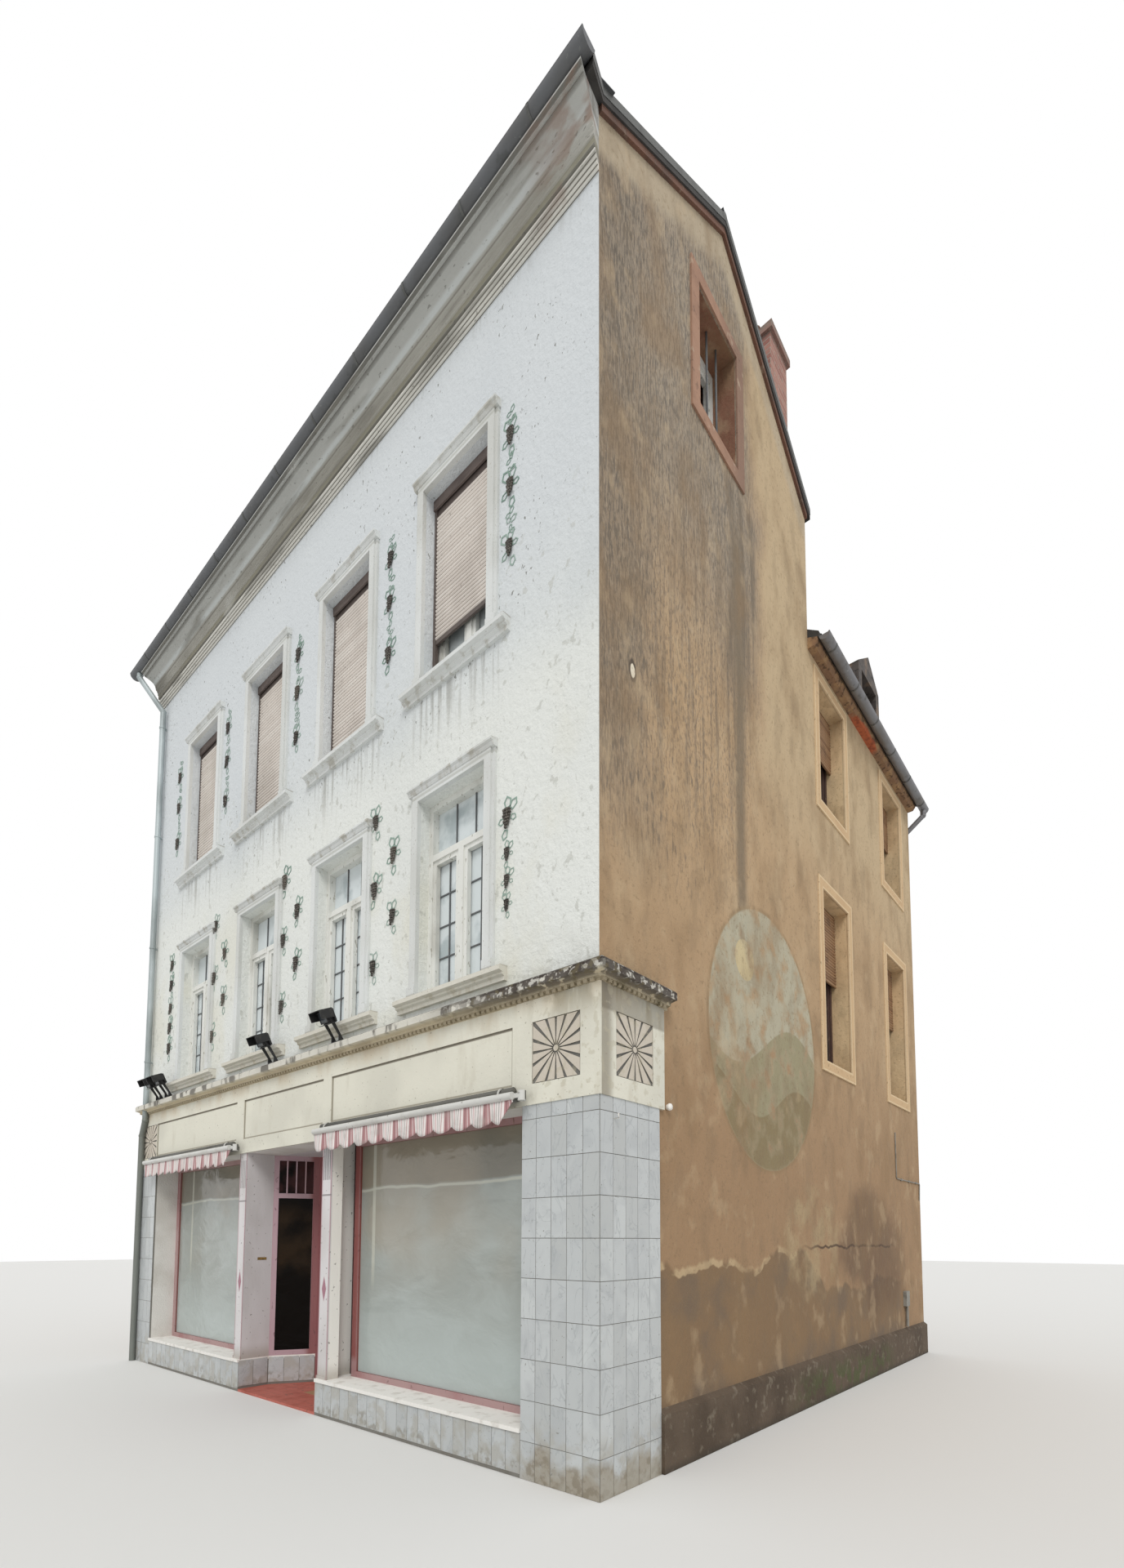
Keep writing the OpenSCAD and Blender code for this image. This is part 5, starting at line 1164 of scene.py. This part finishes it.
# The shop posts: white boxed posts beside the entrance, fluted at the head, with pink edges and a pink lozenge. A
# brass slot for letters is let into the left return.
POSTS = (-1.0925, 0.7825)
POST_HALF = 0.0875
paint = Coat("white_post_paint", "#d6d3d4", rough=0.5)
paint.mottle("#c6c2c1", 0.8, 0.42, 0.7, 2.4, 4.0, (1, 1, 0.4))
off_post = paint.sum("MINIMUM", *[paint.sum("ABSOLUTE", paint.minus(paint.x, x)) for x in POSTS])
on_front = paint.over(paint.y, FRONT_Y + 0.006, FRONT_Y + 0.003)
edge_line = paint.both(on_front, paint.over(off_post, POST_HALF - 0.017, POST_HALF - 0.012))
paint.layer("#a78088", 0.75, edge_line)
lozenge = paint.plus(paint.sum("DIVIDE", off_post, 0.04),
                     paint.sum("DIVIDE", paint.sum("ABSOLUTE", paint.minus(paint.z, 1.27)), 0.13))
paint.layer("#a1727f", 1.0, on_front, paint.over(lozenge, 1.03, 0.97))
# Painted shade in the grooves of the flutes at the head.
flute_shade = paint.both(paint.band(paint.z, 2.38, 2.385, 2.715, 2.72),
                    paint.over(paint.y, FRONT_Y + 0.0015, FRONT_Y + 0.006))
paint.layer("#6d686a", 0.8, flute_shade, paint.over(off_post, POST_HALF - 0.005, POST_HALF - 0.012))
paint.layer("#7d7778", 0.8, on_front, paint.band(paint.z, 2.218, 2.222, 2.236, 2.24))
# The right returns in beige paint, raised near white as painted light against the shade of the reveal and awning.
right_return = paint.either(paint.over(paint.x, 0.868, 0.8695), paint.both(
    paint.band(paint.x, 0.7535, 0.7545, 0.76, 0.77), paint.over(paint.y, -1.925, -1.92)))
lit_beige_return = paint.both(right_return, paint.over(paint.y, FRONT_Y + 0.01, FRONT_Y + 0.02))
paint.layer("#f3f0e9", 0.9, lit_beige_return)
paint.layer("#a39b8e", 0.6, paint.over(paint.z, 0.55, 0.38))
paint.mottle("#7a726b", 0.7, 0.67, 0.72, 28.0, 3.0)
paint.relief(paint.noise(40.0, 3.0, (1, 1, 0.3)), 0.001)
paint_mat = paint.done("shop_posts", "recess_soffit")
brass = Coat("brass_plate", "#a88c58", rough=0.45, metal=0.3)
brass.mottle("#5f4e33", 0.8, 0.5, 0.7, 30.0, 3.0)
brass_mat = brass.done()
SLOT_AT = (-1.005, -1.83, 1.54)
slot_plate = join([slab((0, -0.055, -0.016), (0.003, 0.055, 0.016)),
                   slab((0.003, -0.045, -0.008), (0.006, 0.045, 0.01)),
                   tube([(0.006, -0.04, 0.012), (0.006, 0.04, 0.012)], 0.003, 8)])
piece("letter_slot", moved(slot_plate, Matrix.Translation(SLOT_AT)), brass_mat)


# The shop windows and the entrance: painted frames in pink over dark red, with whitewash and paper behind the panes
# of the shop. Painted shade darkens the frames deep in the recess and the panes above the paper. The entrance lights
# are clear glass, painted near black for the unlit room behind them, with a dim painted glow.
pink = Coat("pink_frames", "#ac8d8c", rough=0.5)
pink.mottle("#9c6a6c", 0.8, 0.42, 0.7, 3.0, 4.0, (1, 1, 0.4))
inner = pink.over(pink.y, -1.764, -1.758)
shop_part = pink.either(pink.over(pink.x, -1.16, -1.18), pink.over(pink.x, 0.85, 0.87))
pink.layer("#74392f", 0.85, shop_part, inner)
stile_side = pink.both(pink.over(pink.x, 0.98, 0.93), shop_part, pink.over(pink.x, 0.85, 0.87))
pink.layer("#863a33", 0.75, stile_side, pink.over(pink.z, 0.5, 0.6))
lilac = pink.band(pink.x, -1.01, -1.0, -0.82, -0.74)
pink.layer("#b79ba6", 0.7, lilac)
# Painted shade on the frames deep in the entrance recess.
shaded_deep_part = pink.both(pink.over(pink.y, -1.45, -1.30), pink.band(pink.x, -0.8, -0.76, 0.44, 0.5))
pink.layer("#854a4c", 0.85, shaded_deep_part)
pink.mottle("#5f4040", 0.6, 0.64, 0.7, 30.0, 3.0, (1, 1, 0.4))
pink.relief(pink.noise(40.0, 3.0, (1, 1, 0.3)), 0.001)
pink_mat = pink.done("shop_frames", "side_lights", "entrance_frame", "entrance_door")

panes = Coat("papered_glass", "#9ba09b", rough=0.14)
creases = panes.noise(1.9, 4.0, (1, 1, 1.3), bend=0.35)
panes.layer("#a8afac", 0.7, panes.over(creases, 0.4, 0.66))
panes.mottle("#8b918c", 0.5, 0.56, 0.74, 2.6, 5.0, (0.5, 1, 2.4), (3, 3, 3), 0.3)
panes.layer("#b4bebc", 0.8, panes.over(panes.z, 1.5, 0.5))
# Above the paper, a painted shade of the awning and the dark shop behind.
waver = panes.times(panes.noise(1.2, 3.0), 0.12)
upper = panes.over(panes.plus(panes.z, waver), 2.36, 2.39)
panes.layer("#7a7568", 0.85, upper)
panes.layer("#9d9382", 0.6, panes.over(panes.z, 1.2, 1.9), panes.patch(0.4, 0.6, 0.9, 2.0, shift=(5, 1, 1)))
panes.layer("#c4c5b9", 0.8, panes.band(panes.plus(panes.z, waver), 2.33, 2.345, 2.355, 2.37))
for jamb in (-3.3, 1.18):
    panes.layer("#bfc0b4", 0.7, panes.band(panes.x, jamb - 0.03, jamb - 0.02, jamb + 0.02, jamb + 0.03),
                panes.over(panes.z, 1.2, 1.6))
# The entrance lights: painted near black for the unlit room behind, with a dim painted glow of its walls.
entry = panes.band(panes.x, -1.02, -1.01, 0.70, 0.71)
panes.layer("#0f0b08", 1.0, entry)
glow = panes.both(entry, panes.band(panes.z, 1.25, 1.5, 2.0, 2.3), panes.patch(0.35, 0.6, 2.0, 4.0))
panes.layer("#33271b", 0.8, glow)
panes.layer("#4a2c2c", 0.9, entry, panes.over(panes.z, 2.33, 2.36), panes.patch(0.4, 0.6, 3.0, 4.0))
put(panes.tree, panes.shader.inputs["Specular IOR Level"], panes.minus(0.5, panes.times(entry, 0.44)))
panes.relief(creases, 0.03)
panes.done("shop_glass")
bars = []
for side, start in ((1, (-1.005, -1.71)), (-1, (0.695, -1.71))):
    for share in (0.29, 0.49, 0.69):
        x = start[0] + side * 0.28 * share
        y = start[1] + 0.45 * share
        turn = Matrix.Translation((x, y, 0)) @ Matrix.Rotation(side * splay_turn, 4, "Z")
        shift = Matrix.Translation((0, -0.0345, 0))
        bars.append(moved(slab((-0.008, 0, 2.34), (0.008, 0.008, 2.745)), turn @ shift))
piece("light_bars", join(bars), pink_mat)

tiles = Coat("red_floor", "#b9685a", rough=0.6)
lines = tiles.either(tiles.over(tiles.sum("FRACT", tiles.sum("DIVIDE", tiles.x, 0.1)), 0.05, 0.03),
                     tiles.over(tiles.sum("FRACT", tiles.sum("DIVIDE", tiles.y, 0.1)), 0.05, 0.03))
tiles.mottle("#a0503f", 0.8, 0.45, 0.7, 6.0, 4.0)
tiles.layer("#7d5247", 0.6, lines)
tiles.mottle("#6f5c4f", 0.6, 0.62, 0.7, 20.0, 3.0)
mat_area = tiles.over(tiles.away(tiles.x, tiles.y, [(-0.26, 0.46, -1.66, -1.28)]), 0.004, -0.004)
tiles.layer("#a58763", 0.9, mat_area, tiles.over(tiles.z, 0.0, 0.02))
tiles.relief(tiles.noise(90.0, 2.0), 0.001)
tiles.done("recess_floor")


# The awnings: rolled cloth behind a white front bar on folding arms. Both valances hang from the bar with scalloped
# hems, woven in maroon, pink and grey stripes.
metal = Coat("awning_enamel", "#cfcfcb", rough=0.4)
metal.mottle("#bdbcb6", 0.7, 0.45, 0.7, 4.0, 4.0)
roll = metal.both(metal.over(metal.y, FRONT_Y - 0.112, FRONT_Y - 0.106), metal.over(metal.z, 2.83, 2.835))
metal.layer("#4e4e4a", 0.92, roll)
metal.mottle("#86837b", 0.7, 0.64, 0.72, 30.0, 3.0)
metal.relief(metal.noise(20.0, 2.0), 0.001)
metal.done("awnings")

SPANS = (("left", -3.884, -1.14), ("right", 0.77, 3.63))
cover = Coat("awning_cover", "#64635d", rough=0.7)
cover.mottle("#4a4944", 0.8, 0.45, 0.7, 7.0, 4.0, (0.3, 1, 1))
cover_mat = cover.done()
covers = [tube([(x0 + 0.05, FRONT_Y - 0.085, 2.918), (x1 - 0.05, FRONT_Y - 0.085, 2.918)], 0.033, 14) for _,
          x0, x1 in SPANS]
piece("awning_covers", join(covers), cover_mat, smooth=True)

BAR_Y, VALANCE_TOP, VALANCE_DROP = FRONT_Y - 0.15, 2.8367, 0.184
stripe = Coat("valance_cloth", "#e4dedb", rough=0.9)
stripe.set("Sheen Weight", 0.15)
repeat = stripe.sum("FRACT", stripe.sum("DIVIDE", stripe.plus(stripe.x, 0.03), 0.238))
for a, b, colour, strength in ((0.02, 0.34, "#a77577", 0.9), (0.09, 0.13, "#71434a", 0.8),
                               (0.21, 0.25, "#dccaca", 0.9),
                               (0.42, 0.45, "#6f6a69", 0.9), (0.52, 0.58, "#cfa3a6", 0.8), (0.64, 0.67,
                                                                                            "#7b7675", 0.9),
                               (0.76, 0.8, "#7b7675", 0.9), (0.87, 0.92, "#b58f90", 0.9)):
    stripe.layer(colour, strength, stripe.band(repeat, a, a + 0.01, b - 0.01, b))
stripe.mottle("#9f9993", 0.5, 0.5, 0.72, 5.0, 4.0)
stripe.relief(stripe.noise(300.0, 1.0), 0.0004)
stripe_mat = stripe.done()


def valance(width, scallops):
    """A hanging strip in shallow folds whose hem runs in scallops."""
    columns, rows, thick = scallops * 12, 6, 0.0018
    verts, faces = [], []
    for side in (-1, 1):
        for j in range(rows + 1):
            for i in range(columns + 1):
                u = i / columns
                phase = u * scallops * 2 * math.pi
                drop = VALANCE_DROP * (0.74 + 0.26 * abs(math.sin(phase / 2)) ** 0.8)
                drop *= min(1.0, max(0.12, (1 - u) * width / 0.13))
                v = j / rows
                wave = 0.011 * v * math.cos(phase) + 0.004 * v * math.sin(2.3 * phase + 1.0)
                verts.append((u * width, wave + side * thick / 2, -drop * v))
    half = (columns + 1) * (rows + 1)
    for j in range(rows):
        for i in range(columns):
            a = j * (columns + 1) + i
            b = a + columns + 1
            faces += [(a, b, b + 1, a + 1), (half + a, half + a + 1, half + b + 1, half + b)]
    for i in range(columns):
        a, b = i, rows * (columns + 1) + i
        faces += [(a, a + 1, half + a + 1, half + a), (b, half + b, half + b + 1, b + 1)]
    for j in range(rows):
        a, b = j * (columns + 1), j * (columns + 1) + columns
        c, d = a + columns + 1, b + columns + 1
        faces += [(a, half + a, half + c, c), (b, d, half + d, half + b)]
    return verts, faces


for label, x0, x1 in SPANS:
    count = round((x1 - x0) / 0.235)
    cloth = moved(valance(x1 - x0, count), Matrix.Translation((x0, BAR_Y, VALANCE_TOP)))
    strip = piece(f"valance_{label}", cloth, stripe_mat, smooth=True)
    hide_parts("awning_valances")


# The floodlights on the shop cornice: black boxes on forked feet, with a clear pane in each.
black = Coat("black_lamp_metal", "#242426", rough=0.45)
black.mottle("#3a3937", 0.8, 0.5, 0.7, 14.0, 3.0)
black_mat = black.done("floodlights")
lamp_glass = Coat("lamp_glass", "#3a3f44", rough=0.1)
lamp_glass.mottle("#565c60", 0.8, 0.4, 0.7, 9.0, 3.0)
lamp_mat = lamp_glass.done()
heads, hoods = [], []
hood = join([slab((-0.1, -0.115, 0.066), (0.1, 0.03, 0.072)),
             slab((-0.1, -0.115, -0.02), (-0.094, 0.03, 0.066)),
             slab((0.094, -0.115, -0.02), (0.1, 0.03, 0.066)), slab((-0.1, 0.03, -0.075),
                                                                    (0.1, 0.036, 0.072)),
             slab((-0.1, -0.045, -0.075), (0.1, 0.03, -0.069))]
            + [slab((x - 0.003, 0.036, -0.065), (x + 0.003, 0.062, 0.065)) for x in (-0.075, -0.045, -0.015,
                                                                                     0.015, 0.045, 0.075)])
for s in (3.3, 4.63, 7.64, 7.96):
    head = Matrix.Translation((CORNER_X - s, FRONT_Y - 0.215, 3.99)) @ Matrix.Rotation(math.radians(25), 4,
                                                                                       "X")
    heads.append(moved(slab((-0.055, -0.036, -0.049), (0.055, -0.0305, 0.049)), head))
    hoods.append(moved(hood, head))
piece("lamp_panes", join(heads), lamp_mat)
piece("lamp_hoods", join(hoods), black_mat)


# The grape bunches: cast and painted ornaments pinned to the front between the windows, with leaves outlined in pale
# green round dark fruit.
BERRY_R = 0.013


def ball(centre, radius, sides=6, rings=4):
    verts = [(0, 0, -radius)]
    for j in range(1, rings):
        angle = math.pi * j / rings - math.pi / 2
        for k in range(sides):
            turn = 2 * math.pi * k / sides
            verts.append((radius * math.cos(angle) * math.cos(turn), radius * math.cos(angle) * math.sin(turn),
                          radius * math.sin(angle)))
    verts.append((0, 0, radius))
    faces = []
    top = len(verts) - 1
    for k in range(sides):
        n = (k + 1) % sides
        faces.append((0, 1 + n, 1 + k))
        faces.append((top, top - sides + k, top - sides + n))
        for j in range(rings - 2):
            a, b = 1 + j * sides, 1 + (j + 1) * sides
            faces.append((a + k, a + n, b + n, b + k))
    return [tuple(Vector(v) + Vector(centre)) for v in verts], faces


def leaf(size, points=10):
    """A lobed leaf as a flat rim, pointing up from its stem."""
    verts = []
    for scale in (1.0, 0.72):
        for y in (-0.004, 0.0):
            for k in range(points):
                angle = 2 * math.pi * k / points
                r = size * scale * (0.5 if k % 2 else 0.62)
                verts.append((r * math.sin(angle) * 0.75, y, size * 0.55 + r * math.cos(angle)))
    n = points
    faces = []
    for k in range(n):
        m = (k + 1) % n
        faces += [(k, m, 2 * n + m, 2 * n + k), (n + k, 3 * n + k, 3 * n + m, n + m), (k, n + k, n + m, m),
                  (2 * n + k, 2 * n + m, 3 * n + m, 3 * n + k)]
    return verts, faces


berries, row_count = [], [4, 4, 4, 3, 3, 2, 1]
for j, count in enumerate(row_count):
    for k in range(count):
        across = (k - (count - 1) / 2) * BERRY_R * 1.65 + (0.003 if j % 2 else -0.003)
        bulge = 0.012 + 0.012 * (1 - abs(k - (count - 1) / 2) / 2)
        berries.append(ball((across, -bulge, 0.08 - j * 0.026), BERRY_R * (1.0 if k % 2 else 1.12)))
leaves = []
for angle, size, (x, z) in ((0.5, 0.10, (0.02, 0.09)), (-0.35, 0.11, (-0.015, 0.1)),
                            (1.9, 0.07, (0.035, 0.03)),
                            (-1.9, 0.08, (-0.035, 0.0)), (math.pi + 0.2, 0.09, (0.005, -0.09))):
    leaves.append(moved(leaf(size), Matrix.Translation((x, 0, z)) @ Matrix.Rotation(angle, 4, "Y")))


def place_tree():
    """Copies of one item on the points of a mesh, each with a small random lean, size and shade."""
    tree = bpy.data.node_groups.new("scatter", "GeometryNodeTree")
    tree.interface.new_socket("Geometry", in_out="OUTPUT", socket_type="NodeSocketGeometry")
    for label, kind in (("Points", "NodeSocketGeometry"), ("Item", "NodeSocketObject"),
                        ("Coat", "NodeSocketMaterial"),
                        ("Lean", "NodeSocketFloat"), ("Small", "NodeSocketFloat"), ("Seed", "NodeSocketInt")):
        tree.interface.new_socket(label, in_out="INPUT", socket_type=kind)
    given = add(tree, "NodeGroupInput").outputs
    out = add(tree, "NodeGroupOutput")

    def chance(low, high, step):
        node = add(tree, "FunctionNodeRandomValue", data_type="FLOAT")
        put(tree, node.inputs[2], low)
        put(tree, node.inputs[3], high)
        put(tree, node.inputs["Seed"], add(tree, "ShaderNodeMath", given["Seed"], float(step),
                                           operation="ADD").outputs[0])
        return node.outputs[1]

    item = add(tree, "GeometryNodeObjectInfo", given["Item"])
    back = add(tree, "ShaderNodeMath", given["Lean"], -1.0, operation="MULTIPLY").outputs[0]
    turn = add(tree, "ShaderNodeCombineXYZ", 0.0, chance(back, given["Lean"], 1), 0.0).outputs[0]
    copies = add(tree, "GeometryNodeInstanceOnPoints")
    put(tree, copies.inputs["Points"], given["Points"])
    put(tree, copies.inputs["Instance"], item.outputs["Geometry"])
    put(tree, copies.inputs["Rotation"], turn)
    put(tree, copies.inputs["Scale"], chance(given["Small"], 1.0, 2))
    shade = add(tree, "GeometryNodeStoreNamedAttribute", data_type="FLOAT", domain="INSTANCE")
    put(tree, shade.inputs["Geometry"], copies.outputs[0])
    put(tree, shade.inputs["Name"], "shade")
    put(tree, shade.inputs["Value"], chance(0.0, 1.0, 3))
    solid = add(tree, "GeometryNodeRealizeInstances", shade.outputs[0])
    coated = add(tree, "GeometryNodeSetMaterial")
    put(tree, coated.inputs["Geometry"], solid.outputs[0])
    put(tree, coated.inputs["Material"], given["Coat"])
    put(tree, out.inputs[0], coated.outputs[0])
    return tree


SCATTER = place_tree()


def scatter(points, item, coat, lean, small, seed):
    source = bpy.data.objects.new("item", mesh_of("item", *item))
    carrier = bpy.data.objects.new("carrier", mesh_of("carrier", points, []))
    for obj in (source, carrier):
        bpy.context.scene.collection.objects.link(obj)
    modifier = carrier.modifiers.new("scatter", "NODES")
    modifier.node_group = SCATTER
    values = {"Item": source, "Coat": coat, "Lean": lean, "Small": small, "Seed": seed}
    for socket in SCATTER.interface.items_tree:
        if socket.in_out == "INPUT" and socket.name in values:
            modifier[socket.identifier] = values[socket.name]
    bpy.context.view_layer.update()
    mesh = bpy.data.meshes.new_from_object(carrier.evaluated_get(bpy.context.evaluated_depsgraph_get()))
    bpy.data.objects.remove(carrier)
    bpy.data.objects.remove(source)
    return mesh


STRIPS = (0.95, 2.66, 4.47, 6.31, 7.90)
bunch_points, small_points, vine_points = [], [], []
for n, s in enumerate(STRIPS):
    bunch_points += [(CORNER_X - s, FRONT_Y - 0.001, z) for z in (8.6, 8.13, 7.58)]
    vine_points += [(CORNER_X - s, FRONT_Y - 0.001, z) for z in (8.83, 8.75, 8.4, 8.3, 7.9, 7.83, 7.75)]
    if n == 0:
        bunch_points.append((CORNER_X - s, FRONT_Y - 0.001, 5.21))
        small_points += [(CORNER_X - s, FRONT_Y - 0.001, z) for z in (4.91, 4.68, 4.48)]
    elif n == 4:
        bunch_points += [(CORNER_X - s, FRONT_Y - 0.001, z) for z in (5.74, 5.44, 5.10, 4.81, 4.51)]
    else:
        for k, z in enumerate((5.90, 5.46, 5.20, 4.85, 4.42)):
            bunch_points.append((CORNER_X - s + (-0.15 if k % 2 == 0 else 0.15), FRONT_Y - 0.001, z))
fruit = Coat("painted_fruit", "#4b4640", rough=0.6)
shaded(fruit, "#35302c", "#615a51", 0.8)
fruit.mottle("#8a857b", 0.7, 0.55, 0.68, 40.0, 3.0)
fruit_mat = fruit.done()
SMALLER = Matrix.Scale(0.66, 4)
big_fruit = scatter(bunch_points, join(berries), fruit_mat, 0.12, 0.85, 81)
small_fruit = scatter(small_points, moved(join(berries), SMALLER), fruit_mat, 0.12, 0.85, 83)
piece("grape_bunches", merge("grape_bunches", [big_fruit, small_fruit]), fruit_mat,
      smooth=True)
green = Coat("pale_green_rims", "#8fa69b", rough=0.8)
shaded(green, "#a9b8b1", "#7c958a", 0.8)
green_mat = green.done()
big_leaves = scatter(bunch_points, join(leaves), green_mat, 0.3, 0.85, 82)
small_leaves = scatter(small_points, moved(join(leaves), SMALLER), green_mat, 0.3, 0.85, 84)
pair = join([moved(leaf(0.07), Matrix.Rotation(1.1, 4, "Y")),
             moved(leaf(0.06), Matrix.Rotation(-0.9, 4, "Y"))])
vine = scatter(vine_points, pair, green_mat, 1.0, 0.7, 85)
piece("vine_leaves", merge("vine_leaves", [big_leaves, small_leaves, vine]), green_mat)


# Small fittings of the alley side: a conduit with its clips, a vent box with its pipe, a knob and a hook.
grey = Coat("grey_fittings", "#8a877f", rough=0.6)
grey.mottle("#66625a", 0.8, 0.45, 0.7, 12.0, 3.0)
grey_mat = grey.done()


def alley(t, z, out=0.0):
    """A point on the alley side, by distance from the street front and height."""
    return (CORNER_X + out, FRONT_Y + t, z)


conduit = tube([alley(7.09, 3.37, 0.012), alley(7.10, 2.70, 0.012), alley(7.13, 2.685, 0.012),
                alley(8.33, 2.68, 0.012),
                alley(8.35, 2.66, 0.012), alley(8.32, 2.41, 0.012)], 0.008, 8)
clips = [slab(alley(t - 0.012, 2.665), alley(t + 0.012, 2.70, 0.024)) for t in (7.35, 7.75, 8.15)]
box = slab(alley(7.30, 0.80), alley(7.46, 1.02, 0.05))
vent_pipe = tube([alley(7.38, 0.80, 0.03), alley(7.38, 0.50, 0.03)], 0.02, 10)
piece("alley_fittings", join([conduit, *clips, box, vent_pipe]), grey_mat)
knob = turned([(0, 0), (0.02, 0), (0.024, 0.015), (0.03, 0.03), (0.026, 0.045), (0, 0.05)], 12)
knob_at = Matrix.Translation(alley(0.873, 2.839)) @ Matrix.Rotation(quarter, 4, "Y")
hooks = [tube([alley(0.15, 2.65, 0.02), alley(0.15, 2.65, 0.06), alley(0.15, 2.685, 0.06)], 0.006, 8)]
piece("wall_knob", join([moved(knob, knob_at), *hooks]), paint_mat, smooth=True)


# The camera stands across the street at eye level and looks up at the street corner. The lens is a wide one with a
# rising front.
YAW, PITCH, ROLL = 0.700, 0.069, 0.002
LENS_PX, FRAME_W, FRAME_H = 860.492, 1376.0, 1920.0
CENTRE_PX = (703.27, 1458.0)
ahead = Vector((-math.sin(YAW) * math.cos(PITCH), math.cos(YAW) * math.cos(PITCH), math.sin(PITCH)))
right = Vector((math.cos(YAW), math.sin(YAW), 0.0))
above = right.cross(ahead)
right_rolled = right * math.cos(ROLL) + above * math.sin(ROLL)
above_rolled = above * math.cos(ROLL) - right * math.sin(ROLL)
lens = bpy.data.cameras.new("street_camera")
lens.sensor_fit = "VERTICAL"
lens.sensor_height = 36.0
lens.lens = LENS_PX / FRAME_H * lens.sensor_height
lens.shift_x = (FRAME_W / 2 - CENTRE_PX[0]) / FRAME_H
lens.shift_y = (CENTRE_PX[1] - FRAME_H / 2) / FRAME_H
lens.clip_end = 200.0
camera = bpy.data.objects.new("street_camera", lens)
bpy.context.scene.collection.objects.link(camera)
axes = Matrix((right_rolled, above_rolled, -ahead)).transposed()
camera.matrix_world = Matrix.Translation((7.388, -5.928, 1.78)) @ axes.to_4x4()
bpy.context.scene.camera = camera

ground = Coat("pale_floor", "#e4e4e2", rough=0.9)
floor = bpy.data.objects.new("studio_floor", mesh_of("studio_floor", [(-60, -60, -0.002), (60, -60, -0.002),
                                                                      (60, 60, -0.002),
                                                                      (-60, 60, -0.002)], [(0, 1, 2, 3)]))
floor.data.materials.append(ground.done())
bpy.context.scene.collection.objects.link(floor)

world = bpy.data.worlds.new("studio_light")
bpy.context.scene.world = world
world.use_nodes = True
sky = world.node_tree
sky.nodes.clear()
paths = add(sky, "ShaderNodeLightPath").outputs
seen = add(sky, "ShaderNodeMath", paths["Is Camera Ray"], paths["Is Glossy Ray"],
           operation="MAXIMUM").outputs[0]
seen = add(sky, "ShaderNodeMath", seen, paths["Is Transmission Ray"], operation="MAXIMUM").outputs[0]
soft = add(sky, "ShaderNodeBackground", (1.0, 1.0, 1.0, 1.0), 0.72)
plain = add(sky, "ShaderNodeBackground", (1.0, 1.0, 1.0, 1.0), 1.0)
either = add(sky, "ShaderNodeMixShader", seen, soft.outputs[0], plain.outputs[0])
add(sky, "ShaderNodeOutputWorld", either.outputs[0])

sun_data = bpy.data.lights.new("soft_key", "SUN")
sun_data.energy = 1.3
sun_data.angle = math.radians(25)
sun_data.color = (1.0, 0.98, 0.95)
key = bpy.data.objects.new("soft_key", sun_data)
key.rotation_euler = (math.radians(48), 0, math.radians(42))
bpy.context.scene.collection.objects.link(key)

bpy.context.scene.view_settings.view_transform = "Standard"
